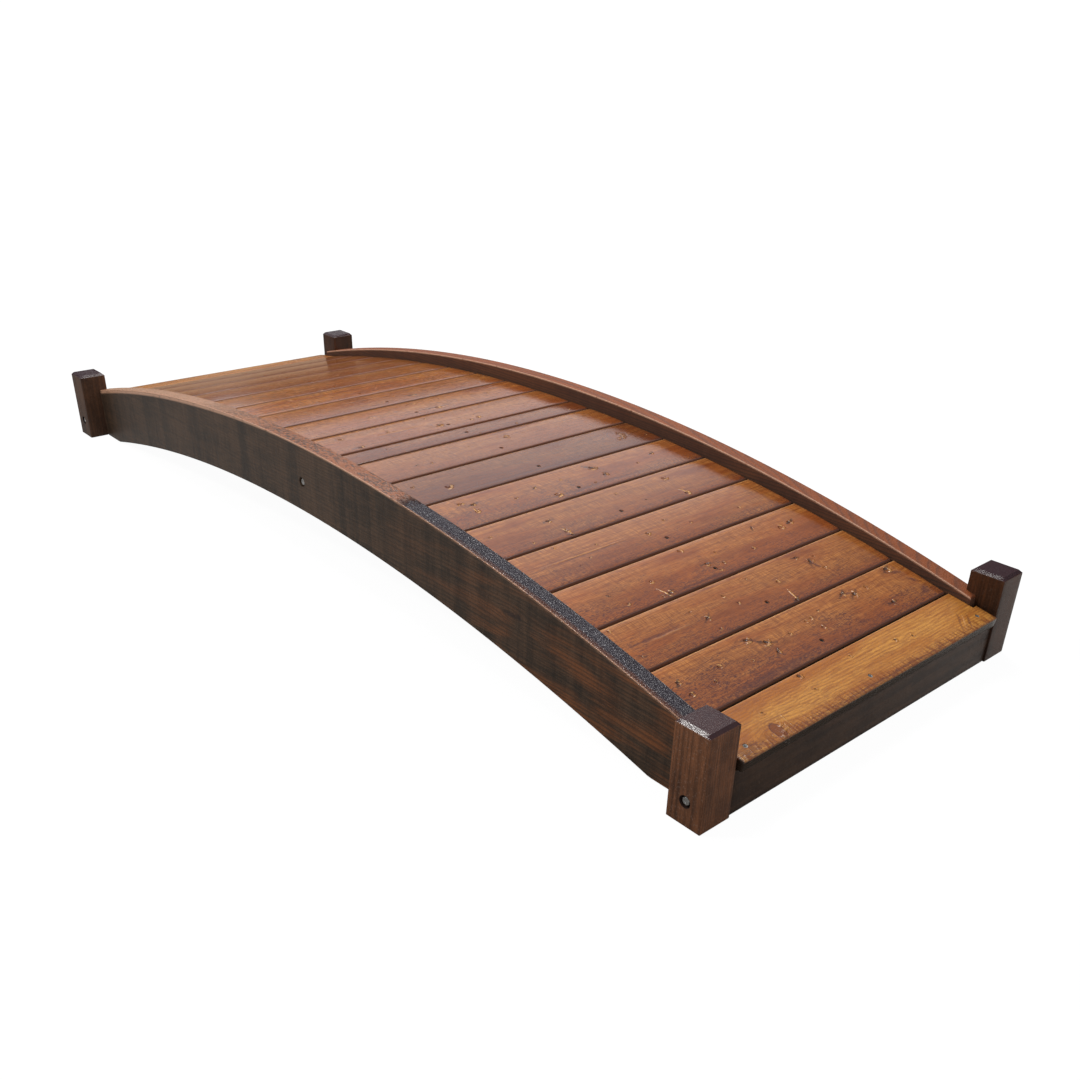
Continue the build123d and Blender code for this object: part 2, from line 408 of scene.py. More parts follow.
def points_of(mesh):
    """All points of a mesh as an array."""
    flat = np.empty(len(mesh.vertices) * 3, np.float32)
    mesh.vertices.foreach_get("co", flat)
    return flat.reshape(-1, 3).astype(float)


def store(mesh, name, values, domain="POINT"):
    """Keep one vector for each point or face corner of a mesh, for its material to read."""
    layer = mesh.attributes.new(name, "FLOAT_VECTOR", domain)
    layer.data.foreach_set("vector", np.ascontiguousarray(values, dtype=np.float32).ravel())


def corners_of(mesh, plane):
    """Place of each face corner in a plane of all points, middle of each face, and each corner's face."""
    corner_point = np.empty(len(mesh.loops), np.int32)
    mesh.loops.foreach_get("vertex_index", corner_point)
    face_size = np.empty(len(mesh.polygons), np.int32)
    mesh.polygons.foreach_get("loop_total", face_size)
    corner = plane[corner_point]
    face = np.repeat(np.arange(len(face_size)), face_size)
    middle = np.column_stack([np.bincount(face, corner[:, axis]) / face_size for axis in (0, 1)])
    return corner, middle, face


def store_knots(mesh, plane, knots, lowest=LOWEST_LOOK, highest=HIGHEST_LOOK):
    """For each face corner, its offset from the knot nearest to its face, and that knot's radius and look.

    All corners of a face follow one knot, so the offset stays exact between them. plane holds each point's
    place along and across the timber, and knots the same two places and the radius, all in metres. Each knot
    is turned by an angle of its own, and a negative radius makes it dark.
    """
    knots = np.array(knots, dtype=float).reshape(-1, 3)
    draw = np.random.default_rng(len(knots))
    looks = draw.uniform(lowest, highest, (len(knots), 3))
    looks[:, 0] = np.where(looks[:, 0] > SMEAR_LIMIT, looks[:, 0], 0.0)
    turn = draw.uniform(-KNOT_TURN, KNOT_TURN, len(knots))
    looks[knots[:, 2] < 0] = DARK_LOOK
    knots[:, 2] = np.abs(knots[:, 2])
    big = knots[:, 2] > BIG_KNOT
    looks[big] = BIG_LOOK
    turn[big] = 0.0
    corner, middle, face = corners_of(mesh, plane)
    distance = np.linalg.norm(middle[:, None] - knots[None, :, :2], axis=-1) / np.sqrt(knots[:, 2])
    nearest = distance.argmin(axis=1)[face]
    along, across = (corner - knots[nearest, :2]).T
    turned_along = along * np.cos(turn[nearest]) - across * np.sin(turn[nearest])
    turned_across = along * np.sin(turn[nearest]) + across * np.cos(turn[nearest])
    store(mesh, "knot", np.column_stack([turned_along, turned_across, knots[nearest, 2]]), "CORNER")
    store(mesh, "knot_look", looks[nearest], "CORNER")


def store_marks(mesh, plane, marks):
    """For each face corner, its offset from the nearest pale ridge and dark streak, in their half sizes.

    The offset is turned into the mark's own directions, and the nearest mark has the smallest offset.
    """
    corner, middle, face = corners_of(mesh, plane)
    for name, kind in (("ridge", 1), ("streak", -1)):
        chosen = marks[np.isin(np.sign(marks[:, 5]), (0, kind))]
        turn = np.radians(chosen[:, 4])
        lengthwise = np.column_stack([np.cos(turn), np.sin(turn)])
        sideways = np.column_stack([-np.sin(turn), np.cos(turn)])
        axes = np.stack([lengthwise, sideways], 1) / chosen[:, 2:4, None]
        apart = np.einsum("mij,fmj->fmi", axes, middle[:, None] - chosen[None, :, :2])
        nearest = np.linalg.norm(apart, axis=-1).argmin(axis=1)[face]
        offset = np.einsum("cij,cj->ci", axes[nearest], corner - chosen[nearest, :2])
        store(mesh, name, np.column_stack([offset, np.abs(chosen[nearest, 5])]), "CORNER")


def add_piece(mesh, material, slot, *nodes):
    """Make a mesh a piece of the bridge, smooth between its sharp edges, in place of these nodes."""
    mesh.shade_smooth()
    mesh.set_sharp_from_angle(angle=SHARP_ANGLE)
    mesh.materials.clear()
    mesh.materials.append(material)
    piece = bpy.data.objects.new(mesh.name, mesh)
    bpy.context.scene.collection.objects.link(piece)
    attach(piece, BODY)
    if nodes:
        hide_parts(*nodes)


def board_rings(width, thickness, edge, low, high, cup, stations):
    """Rings of a board in its own axes: along, across and depth below its top.

    A rounded rectangle is carried along from low to high. At both ends it shrinks by the edge radius on a
    quarter circle, and its depth bends by cup times one minus the square of the share across.
    """
    outline = rounded_outline(width, thickness, edge, *BOARD_STEPS)
    quarter = np.linspace(0, math.pi / 2, BOARD_QUARTER)
    first, last = quarter[:-1], quarter[1:]
    start, stop = low + edge, high - edge
    run = np.linspace(start, stop, stations)
    along = np.concatenate([start - edge * np.cos(first), run, stop + edge * np.sin(last)])
    inset = np.concatenate([edge - edge * np.sin(first), np.zeros(stations), edge - edge * np.cos(last)])
    across = outline[:, 0] * (1 - 2 * inset[:, None] / width)
    depth = outline[:, 1] * (1 - 2 * inset[:, None] / thickness) - thickness / 2
    depth += cup * (1 - (2 * across / width) ** 2)
    return grid(along[:, None], across, depth)


def placed(local, origin, tilt):
    """Points of a board put into the frame: along becomes Y, and across and depth turn by tilt at origin."""
    along, across, depth = np.moveaxis(local, -1, 0)
    x = origin[0] + across * math.cos(tilt) + depth * math.sin(tilt)
    z = origin[1] - across * math.sin(tilt) + depth * math.cos(tilt)
    return np.stack([x, along, z], axis=-1)


def unplaced(points, origin, tilt):
    """Along, across and depth of points of a board that placed() has put into the frame."""
    x = points[:, 0] - origin[0]
    z = points[:, 2] - origin[1]
    across = x * math.cos(tilt) - z * math.sin(tilt)
    depth = x * math.sin(tilt) + z * math.cos(tilt)
    return np.column_stack([points[:, 1], across, depth])


def tilted(rings, centre, tilt):
    """Rings about Z turned by tilt about Y and moved to a centre."""
    local = np.stack([centre[1] + rings[..., 1], rings[..., 0], rings[..., 2]], axis=-1)
    return placed(local, (centre[0], centre[2]), tilt)


def revolved(radii, heights, turns):
    """Rings of a body of revolution about Z: each pair of radius and height makes one ring."""
    angle = np.linspace(0, 2 * math.pi, turns, endpoint=False)
    return grid(np.outer(radii, np.cos(angle)), np.outer(radii, np.sin(angle)), np.array(heights)[:, None])


class BeamShape:
    """Arcs and end places of the arched beams, from the frame's boxes and a few sizes."""

    def __init__(self, sizes):
        post_low, post_high = corner_span("post_front_right")
        beam_low, beam_high = corner_span("stringer_front")
        end_low, end_high = corner_span("end_board_right")
        self.outer, self.inner = -beam_low[1], -beam_high[1]
        self.end = beam_high[0]
        self.apex = beam_high[2]
        self.post_face = post_low[0]
        self.curb_end = post_high[0] - sizes.curb_end_inset
        self.foot_start = self.post_face - sizes.foot_length
        self.under_apex = self.apex - sizes.beam_depth
        self.top_radius = arc_radius(self.post_face, self.apex - sizes.beam_end_height)
        self.under_radius = arc_radius(self.foot_start, self.under_apex)
        self.tilt = sizes.end_board_tilt
        self.board_back = end_low[0] + sizes.board_thickness * math.sin(self.tilt)
        self.board_top = end_high[2]
        self.board_thickness = sizes.board_thickness

    def top(self, x):
        """Height of the curb's top at x."""
        return arc_height(self.apex, self.top_radius, x)

    def underside(self, x):
        """Height of the underside at x: an arc over a flat foot."""
        reach = np.minimum(np.abs(x), self.foot_start)
        return arc_height(self.under_apex, self.under_radius, reach)

    def seat(self, x):
        """Height at x of the plane on which the end board lies."""
        drop = self.board_thickness / math.cos(self.tilt) + (x - self.board_back) * math.tan(self.tilt)
        return self.board_top - drop

    def edges(self, curb_end_radius):
        """Matching points along the top and the underside, as X and Z, from the -X end to the +X end.

        The top follows its arc, turns down round the curb's end and runs out over the end board's seat. The
        underside has a point for each of these, so that the line between a pair never crosses the next one.
        """
        corner = self.curb_end - curb_end_radius
        arch = np.linspace(0, corner, ARCH_POINTS)
        quarter = np.linspace(0, math.pi / 2, CURB_QUARTER)[1:]
        curb_top = self.top(corner)
        drop = np.linspace(curb_top - curb_end_radius, self.seat(self.curb_end), 6)[1:]
        seat = np.linspace(self.curb_end, self.end, 4)[1:]
        top_x = np.concatenate([
            arch, corner + curb_end_radius * np.sin(quarter), np.full(len(drop), self.curb_end), seat
        ])
        top_z = np.concatenate([
            self.top(arch), curb_top - curb_end_radius * (1 - np.cos(quarter)), drop, self.seat(seat)
        ])
        lean = self.foot_start + (self.end - self.foot_start) / 3
        under_arch = arch * lean / arch[-1]
        under_end = np.linspace(lean, self.end, len(top_x) - len(arch) + 1)[1:]
        under_x = np.concatenate([under_arch, under_end])
        top = np.column_stack([top_x, top_z])
        under = np.column_stack([under_x, self.underside(under_x)])
        flip = np.array([-1, 1])
        return np.concatenate([top[:0:-1] * flip, top]), np.concatenate([under[:0:-1] * flip, under])


def beam_rings(shape, sizes, side):
    """Rings of an arched beam: a rectangle with round corners, carried from end to end.

    At each place it stands on the line between the underside and the top. Its corners keep their radius, and
    its sides stretch with the beam's height there.
    """
    top, under = shape.edges(sizes.curb_end_radius)
    edge = sizes.beam_edge
    thickness = shape.outer - shape.inner
    outline = rounded_outline(thickness, 1, edge, *BEAM_STEPS)
    share = np.clip((outline[:, 1] + 0.5 - edge) / (1 - 2 * edge), 0, 1)
    offset = outline[:, 1] + 0.5 - share
    line = top - under
    height = np.linalg.norm(line, axis=1, keepdims=True)
    rise = offset + share * height
    point = under[:, None, :] + rise[..., None] * (line / height)[:, None, :]
    y = side * (shape.outer + shape.inner) / 2 + outline[:, 0]
    return grid(point[..., 0], y, point[..., 1])


def pocket_skin(x, y_face, z, sizes):
    """Cutter for a blind round pocket in a face that looks along Y: a short cylinder across the face."""
    radius = sizes.pocket_diameter / 2
    depth = sizes.pocket_depth
    rings = revolved([radius, radius], [-depth, depth], POCKET_TURNS)
    return skin(grid(rings[..., 0] + x, rings[..., 2] + y_face, rings[..., 1] + z))


def hex_bolt_skins(x, y_floor, z, outward, sizes):
    """Washer and hexagon head on a pocket's floor, both about the Y axis through x and z.

    The head's rings follow a hexagon, whose radius at an angle is half its width over the cosine of the angle
    to the nearest flat. Towards the top the rings close to a circle, as a chamfered bolt head does.
    """
    angle = np.linspace(0, 2 * math.pi, BOLT_TURNS, endpoint=False)
    sector = math.pi / 3
    flat_angle = (angle + sector / 2) % sector - sector / 2
    half = sizes.bolt_width / 2
    hexagon = half / np.cos(flat_angle)
    chamfered = np.minimum(hexagon, half * 1.08)
    circle = np.full(BOLT_TURNS, half * 0.97)
    washer = sizes.washer_thickness
    head = washer + sizes.bolt_head
    radii = np.stack([hexagon, hexagon, chamfered, circle, circle * 0.55, circle * 0.5])
    heights = np.array([washer, head * 0.86, head * 0.94, head, head, head - sizes.bolt_head * 0.08])
    head_rings = grid(radii * np.cos(angle), radii * np.sin(angle), heights[:, None])
    rim = sizes.washer_diameter / 2
    ease = 0.0004
    washer_rings = revolved([rim - ease, rim, rim, rim - ease], [0, ease, washer - ease, washer], BOLT_TURNS)
    skins = []
    for rings in (washer_rings, head_rings):
        skins.append(skin(grid(x + rings[..., 0], y_floor + outward * rings[..., 2], z + rings[..., 1])))
    return skins


def countersink_skin(centre, tilt, diameter):
    """Cutter for a screw's countersunk hole: a cone about the board's normal."""
    radius = diameter / 2
    radii = [radius * 1.25, radius * 1.05, radius * 0.7]
    return skin(tilted(revolved(radii, [0.002, 0.0, -0.0035], COUNTERSINK_TURNS), centre, tilt))


def screw_skin(centre, tilt, turn, diameter):
    """Countersunk screw head in a board's top: a shallow dish about its own axis with a cross cut into it.

    On rings of growing radius the height falls from the rim to the dish, and drops by the recess's depth
    where the point lies within the cross's arms. Its underside narrows as a countersunk head does.
    """
    rim = diameter / 2
    shares = np.array([0.12, 0.25, 0.38, 0.5, 0.62, 0.66, 0.8, 0.93, 1.0])
    angle = np.linspace(0, 2 * math.pi, SCREW_TURNS, endpoint=False)
    x = rim * np.outer(shares, np.cos(angle))
    y = rim * np.outer(shares, np.sin(angle))
    arm, arm_reach = 0.16 * rim, 0.64 * rim
    dish_depth, recess_depth = 0.0003, 0.0011
    in_cross = (np.minimum(np.abs(x), np.abs(y)) < arm) & (np.hypot(x, y) < arm_reach)
    dish = -dish_depth + dish_depth * shares[:, None] ** 4
    top = grid(x, y, dish - recess_depth * in_cross)
    under = revolved([0.4 * rim, 0.4 * rim, 0.94 * rim], [-0.006, -0.0035, -0.0006], SCREW_TURNS)
    x, y, z = np.moveaxis(np.concatenate([under, top[::-1]]), -1, 0)
    cosine, sine = math.cos(turn), math.sin(turn)
    return skin(tilted(grid(x * cosine - y * sine, x * sine + y * cosine, z), centre, tilt))


# Finishes

# A knot that lies too far away to show, and the look of one that leaves no trace
FAR_KNOT = (1.0, 1.0, 0.002)
NO_LOOK = (0.0, 0.0, 0.0)
# What reddens a board, and the share of its tint that a dull spot of steel keeps
REDDER = (0.88, 0.70, 0.85)
DULL_SHARE = 0.62
# How the varnish and the thinner stain bend light
VARNISH_IOR = 1.45
THIN_STAIN_IOR = 1.42


class Signal:
    """A node's output that takes part in plain arithmetic: each operation adds one node to its tree."""

    def __init__(self, wiring, socket):
        self.wiring = wiring
        self.socket = socket

    def __add__(self, other):
        return self.wiring.math("ADD", self, other)

    def __mul__(self, other):
        return self.wiring.math("MULTIPLY", self, other)

    def __sub__(self, other):
        return self.wiring.math("SUBTRACT", self, other)

    def __rsub__(self, other):
        return self.wiring.math("SUBTRACT", other, self)

    def __truediv__(self, other):
        return self.wiring.math("DIVIDE", self, other)

    def __abs__(self):
        return self.wiring.math("ABSOLUTE", self)

    __radd__ = __add__
    __rmul__ = __mul__

    def step(self, low, high, first=0.0, last=1.0):
        """Smooth change from first, where the value is low, to last, where it is high."""
        inputs = dict(enumerate((self, low, high, first, last)))
        return self.wiring.take("ShaderNodeMapRange", 0, inputs, interpolation_type="SMOOTHSTEP")


class Wiring:
    """Short ways to add nodes to one node tree. A value is a number, a tuple, a colour or a Signal."""

    def __init__(self, tree):
        self.tree = tree
        tree.nodes.clear()

    def feed(self, socket, value):
        """Link a signal to a socket, or set the socket's own value: a colour without alpha is opaque."""
        if isinstance(value, Signal):
            self.tree.links.new(value.socket, socket)
        elif socket.type == "RGBA" and len(value) == 3:
            socket.default_value = (*value, 1.0)
        else:
            socket.default_value = value

    def add(self, kind, inputs=None, **settings):
        """One node with its settings made and its inputs fed, by their names or numbers."""
        node = self.tree.nodes.new(kind)
        for name, setting in settings.items():
            setattr(node, name, setting)
        for key, value in (inputs or {}).items():
            self.feed(node.inputs[key], value)
        return node

    def take(self, kind, output, inputs=None, **settings):
        """One output of a new node."""
        return Signal(self, self.add(kind, inputs, **settings).outputs[output])

    def all_of(self, node):
        """All outputs of a node by name."""
        return {output.name: Signal(self, output) for output in node.outputs}

    def math(self, operation, *values):
        """Sum, product or other plain operation."""
        return self.take("ShaderNodeMath", 0, dict(enumerate(values)), operation=operation)

    def larger(self, first, second):
        """The larger of two values."""
        return self.math("MAXIMUM", first, second)

    def reach(self, first, second):
        """Length of the long side over two sides at right angles."""
        return self.math("SQRT", first * first + second * second)

    def mix(self, factor, first, second, blend="MIX"):
        """Two colours mixed by a factor."""
        inputs = {0: factor, 6: first, 7: second}
        return self.take("ShaderNodeMix", 2, inputs, data_type="RGBA", blend_type=blend)

    def coats(self, colour_now, *layers):
        """A colour under coats of other colours, each as strong as the factor before it."""
        for factor, colour_over in layers:
            colour_now = self.mix(factor, colour_now, colour_over)
        return colour_now

    def stretch(self, vector, scale):
        """A vector with each part scaled by itself."""
        return self.take("ShaderNodeVectorMath", 0, {0: vector, 1: scale}, operation="MULTIPLY")

    def brighten(self, colour_now, factor):
        """A colour with all its parts scaled by one factor."""
        return self.stretch(colour_now, self.join(factor, factor, factor))

    def split(self, vector):
        """The three parts of a vector."""
        return list(self.all_of(self.add("ShaderNodeSeparateXYZ", {0: vector})).values())

    def join(self, x, y, z):
        """A vector of three parts."""
        return self.take("ShaderNodeCombineXYZ", 0, {0: x, 1: y, 2: z})

    def noise(self, vector, scale, detail=2.0, roughness=0.5, distortion=0.0):
        """Cloudy noise, about one half on average. The scale is one number, or one for each part."""
        if isinstance(scale, tuple):
            vector, scale = self.stretch(vector, scale), 1.0
        inputs = {"Vector": vector, "Scale": scale, "Detail": detail}
        inputs.update({"Roughness": roughness, "Distortion": distortion})
        return self.take("ShaderNodeTexNoise", 0, inputs)

    def attribute(self, name):
        """A vector that the mesh carries."""
        return self.take("ShaderNodeAttribute", "Vector", attribute_name=name)

    def place(self, kind="Object"):
        """Place in the object, or the direction of view in a world."""
        return self.take("ShaderNodeTexCoord", kind)

    def surface(self, colour_now, roughness, relief, levels):
        """Principled surface of a material: relief is a height in metres, levels set its other sockets."""
        normal = self.take("ShaderNodeBump", 0, {"Strength": 1.0, "Distance": 1.0, "Height": relief})
        inputs = {"Base Color": colour_now, "Roughness": roughness, "Normal": normal, **levels}
        shader = self.take("ShaderNodeBsdfPrincipled", 0, inputs)
        self.add("ShaderNodeOutputMaterial", {"Surface": shader})


def shared_group(name, vectors, values, wire):
    """A node group with these vectors and values as inputs, made on first use: wire works out its outputs."""
    tree = bpy.data.node_groups.get(name)
    if tree:
        return tree
    tree = bpy.data.node_groups.new(name, "ShaderNodeTree")
    for kind, names in (("NodeSocketVector", vectors), ("NodeSocketFloat", values)):
        for socket_name in names:
            tree.interface.new_socket(name=socket_name, in_out="INPUT", socket_type=kind)
    wiring = Wiring(tree)
    results = wire(wiring, wiring.all_of(wiring.add("NodeGroupInput")))
    for socket_name in results:
        tree.interface.new_socket(name=socket_name, in_out="OUTPUT", socket_type="NodeSocketFloat")
    wiring.add("NodeGroupOutput", results)
    return tree


def wire_grain(wiring, inside):
    """Grain of sawn softwood on the timber's own axes: along, across and depth, in metres.

    Growth rings are the distance from the pith, waved by slow noise, and end in a thin line of late wood.
    Near a knot the lines part as water does round a stone. Fibre, streaks and short pores are noise drawn out
    along those lines. A knot is a sunk dark core inside a broken raised lip, and some have a dark smear along
    the grain. The lip's side towards the light carries a painted highlight. Both reliefs are heights in
    metres.
    """
    grain = inside["Grain"]
    along, across, depth = wiring.split(grain)
    off_along, off_across, radius = wiring.split(inside["Knot"])
    smear_share, core_share, lip_highlight_share = wiring.split(inside["Knot Look"])
    wobble = wiring.noise(grain, 170.0) - 0.5
    far_along = off_along / radius
    far_across = off_across / radius

    def ellipse(half_along, half_across, ragged):
        """Distance from a knot's middle in half sizes of an ellipse, with a wavy edge."""
        return wiring.reach(far_along * (1 / half_along), far_across * (1 / half_across)) + wobble * ragged

    distance = ellipse(1.0, 1.0, 0.9)
    oval = ellipse(0.75, 1.15, 0.35)
    big = radius.step(BIG_KNOT * 0.8, BIG_KNOT)
    pit = ellipse(0.7, 0.6, 1.5).step(1.1, 0.3) * (1.0 - big)
    smear = ellipse(3.2, 0.6, 2.2).step(1.15, 0.25) * smear_share
    broken = wiring.noise(grain, (95.0, 150.0, 150.0), 1.0).step(0.40, 0.55)
    # The lip is kept to the side towards the light, where its pale colour is a painted highlight.
    lit_side = (far_along * 0.8 + far_across * 0.6).step(0.0, 0.6)
    swell = distance.step(0.5, 0.8) * distance.step(1.6, 1.1) * broken * lit_side

    long_part = off_along * 0.4
    around = long_part * long_part + off_across * off_across + radius * radius * 0.45
    bent = across - off_across * radius * radius / around * 1.1
    slow = wiring.noise(grain, (1.2, 6.0, 6.0)) - 0.5
    ring_radius = wiring.reach(bent, depth) + slow * inside["Waviness"]
    drift = wiring.noise(wiring.join(ring_radius * 45.0, along * 0.4, 0.0), 1.0, 1.0)
    fraction = wiring.math("FRACT", ring_radius / inside["Ring Spacing"] + drift * 2.5)
    grown_ring = fraction.step(0.35, 0.85) * fraction.step(1.0, 0.88)
    knot_ring = wiring.math("FRACT", oval * 2.6).step(0.3, 0.85) * oval.step(3.6, 1.2) * big
    ring = wiring.larger(grown_ring, knot_ring)

    threads = wiring.join(along, bent, depth)
    fibre = wiring.noise(threads, (34.0, 520.0, 520.0), 3.0, 0.65)
    pore = wiring.noise(threads, (120.0, 760.0, 760.0), 2.0, 0.75).step(0.49, 0.60)
    return {
        "Ring": ring,
        "Fibre": fibre,
        "Streak": wiring.noise(threads, (2.4, 85.0, 85.0), 3.0, 0.62),
        "Pore": pore,
        "Core": wiring.larger(pit * core_share, smear * 0.85),
        "Painted Lip": swell * lip_highlight_share,
        "Rim": distance.step(2.8, 0.8),
        "Eye": big * oval.step(1.02, 0.94),
        "Eye Edge": big * oval.step(0.86, 0.98) * oval.step(1.12, 1.0),
        "Relief": fibre * 0.00010 - ring * 0.00004 - pore * 0.00007,
        "Knot Relief": (swell * 0.25 - pit * 0.35) * wiring.math("MINIMUM", radius, BIG_KNOT / 2),
    }


def timber_figure(wiring, grain, spacing, waviness, knotted=True):
    """Rings, fibre, pores and knots of a timber. Without knots, none that the mesh carries is looked for."""
    vectors, values = ("Grain", "Knot", "Knot Look"), ("Ring Spacing", "Waviness")
    tree = shared_group("Timber grain", vectors, values, wire_grain)
    inputs = {"Grain": grain, "Knot": FAR_KNOT, "Knot Look": NO_LOOK}
    if knotted:
        inputs.update({"Knot": wiring.attribute("knot"), "Knot Look": wiring.attribute("knot_look")})
    inputs.update({"Ring Spacing": spacing, "Waviness": waviness})
    return wiring.all_of(wiring.add("ShaderNodeGroup", inputs, node_tree=tree))


def wire_marks(wiring, inside):
    """Bands of noise that are thin along the grain and long across it."""
    grain = inside["Grain"]
    along, across, depth = wiring.split(grain)
    lean = wiring.noise(grain, (3.0, 9.0, 9.0), 1.0) * 0.03
    count = (along + lean) / inside["Pitch"]
    bands = wiring.noise(wiring.join(count, across * 30.0, depth * 30.0), 1.0)
    return {"Marks": bands.step(0.32, 0.68)}


def saw_marks(wiring, grain, pitch):
    """Marks of the saw or plane across the grain, about this pitch apart."""
    tree = shared_group("Cross marks", ("Grain",), ("Pitch",), wire_marks)
    return wiring.take("ShaderNodeGroup", "Marks", {"Grain": grain, "Pitch": pitch}, node_tree=tree)


def new_material(name):
    """A material with no nodes, and ways to wire it."""
    material = bpy.data.materials.new(name)
    material.use_nodes = True
    return material, Wiring(material.node_tree)


def board_marks(wiring, grain):
    """Masks of a board's pale ridges and dark streaks: long ellipses with a wavy middle and a ragged edge."""
    sway = wiring.noise(grain, (22.0, 60.0, 60.0)) - 0.5
    ragged = wiring.noise(grain, 190.0, 2.0, 0.7) - 0.5
    masks = []
    for name, swing in (("ridge", 1.6), ("streak", 2.6)):
        off_along, off_across, strength = wiring.split(wiring.attribute(name))
        reach = wiring.reach(off_along, off_across + sway * swing)
        masks.append((reach + ragged * 0.9).step(1.1, 0.35) * strength)
    return masks


def board_colour(wiring, finish, figure, grain, share, colours, side, lean, fineness, ribs):
    """Colour and relief of a stained board.

    Its three colours mix in pale and dark clouds, fine lines and ribs, and lean pales them towards its +X
    edge.
    Stain gathers in pores and patches towards that edge and lines its arris, and a painted highlight pales the
    other arris. The edge faces are brown just under the top, brightened to stand in for light in the gaps, and
    painted shade makes them dark below and at the ends. Painted light brightens the front end of each board
    and painted shade darkens its back end.
    """
    pale_colour, main_colour, dark_colour = colours
    across, end_share, depth = share
    bright, red, stain = wiring.split(wiring.attribute("tone"))
    pore = figure["Pore"]
    cloud = wiring.noise(grain, (4.5, 17.0, 17.0), 3.0, 0.6)
    patch = wiring.noise(grain, (17.0, 46.0, 46.0), 3.0, 0.65)
    colour_now = wiring.coats(
        main_colour,
        ((cloud + figure["Streak"] * 0.4 + across * lean).step(0.54, 0.86), pale_colour),
        ((cloud * 0.6 + patch * 0.4).step(0.47, 0.33, 0.0, 0.5), dark_colour),
        (figure["Ring"] * 0.32, dark_colour),
        (figure["Fibre"].step(0.44, 0.64, 0.0, 0.60), dark_colour),
        (ribs * cloud.step(0.40, 0.62, 0.25, 0.65), dark_colour),
    )
    colour_now = wiring.mix(red * 0.6, colour_now, REDDER, "MULTIPLY")
    # Painted light and shade: the colour is brightened near the board's front end, against the front curb's
    # shade, and darkened near its back end as painted shade of the back curb.
    painted_end_light_and_shade = end_share.step(-0.75, -0.98, 1.0, 1.16) + end_share.step(0.75, 0.95, 0.0, -0.13)
    colour_now = wiring.brighten(colour_now, bright * painted_end_light_and_shade)

    downhill = across * 0.24 + across.step(0.5, 1.0) * 0.20 - end_share * 0.10
    soak = (downhill + cloud * 0.5 + patch * 0.9 + stain * 0.20).step(0.72, 1.16)
    soak = soak * stain.step(0.0, 1.0, 0.35, 1.0)
    ridge, streak = board_marks(wiring, grain)
    uneven = pore * 0.03 + patch * 0.06
    # Painted highlight: the board's -X arris is paled as if it caught the light.
    painted_edge_highlight = (uneven - across).step(0.955, 1.01, 0.0, 0.30)
    low_edge = (across + uneven).step(0.94, 0.99, 0.0, 0.9) * stain.step(0.2, 0.5, 0.5, 1.0)
    colour_now = wiring.coats(
        colour_now,
        (pore * (0.16 + soak * 0.80) + soak * 0.22, finish.board_stain),
        (streak * (0.55 + pore * 0.4), finish.board_stain),
        (figure["Rim"] * 0.20, dark_colour),
        (figure["Eye"] * 0.75, finish.board_dark),
        (figure["Eye Edge"] * 0.8, finish.board_stain),
        # Painted highlight on the knot lips' lit side, and the pale ridges
        (wiring.larger(figure["Painted Lip"] * 0.75, ridge * 0.65), finish.pale_wood_and_highlight),
        (figure["Core"] * 0.92, finish.knot_core_and_pocket_shade),
        (painted_edge_highlight, finish.pale_wood_and_highlight),
        (low_edge, finish.board_arris),
        # Painted light and shade in the gaps: the edge faces are brown just under the top, brightened to stand
        # in for light that reaches into the gaps, and painted shade darkens them deeper down and at the
        # board's ends.
        (depth.step(-0.0010, -0.0018), side),
        (depth.step(-0.0055, -0.0085), finish.end_side_and_gap_shade),
        (abs(end_share).step(0.986, 0.996), finish.end_side_and_gap_shade),
    )
    relief = figure["Relief"] * fineness + figure["Knot Relief"] + ridge * 0.0008 - streak * 0.0001
    return colour_now, relief


def deck_timber(finish):
    """Deck boards: stained softwood under a glossy varnish that mirrors the sky."""
    material, wiring = new_material("deck_timber")
    grain = wiring.attribute("grain")
    share = wiring.split(wiring.attribute("share"))
    figure = timber_figure(wiring, grain, 0.0062, 0.016)
    marks = saw_marks(wiring, grain, 0.0021)
    colours = (finish.board_light, finish.board_mid, finish.board_dark)
    colour_now, relief = board_colour(
        wiring, finish, figure, grain, share, colours, finish.board_side_with_painted_light, -0.10, 0.4, marks
    )
    gloss = figure["Fibre"].step(0.3, 0.7, 0.05, 0.11) + abs(share[0]).step(0.94, 0.98, 0.0, 0.75)
    wiring.surface(colour_now, gloss, relief + marks * 0.00005, {"IOR": VARNISH_IOR})
    return material


def end_board_timber(finish):
    """End boards: lighter golden softwood, sawn across along the front strip."""
    material, wiring = new_material("end_board_timber")
    grain = wiring.attribute("grain")
    along, aside, down = wiring.split(grain)
    share = wiring.split(wiring.attribute("share"))
    across, _, depth = share
    figure = timber_figure(wiring, wiring.join(along, aside + 0.11, down), 0.0056, 0.022)
    marks = saw_marks(wiring, grain, 0.0052)
    on_top = depth.step(-0.0026, -0.0018)
    front = (across + figure["Streak"] * 0.5).step(0.60, 1.05) * on_top
    colours = (finish.end_light, finish.end_mid, finish.end_dark)
    colour_now, relief = board_colour(
        wiring, finish, figure, grain, share, colours, finish.end_side_and_gap_shade, 0.15, 1.0, 0.0
    )
    colour_now = wiring.coats(
        colour_now,
        (figure["Ring"] * on_top * along.step(-0.30, -0.05, 0.55, 0.14), finish.board_dark),
        (front * marks.step(0.45, 0.75) * 0.7, finish.board_dark),
    )
    relief = relief + marks * (0.00005 + front * 0.00035)
    wiring.surface(colour_now, figure["Fibre"].step(0.3, 0.7, 0.20, 0.32), relief, {"IOR": THIN_STAIN_IOR})
    return material


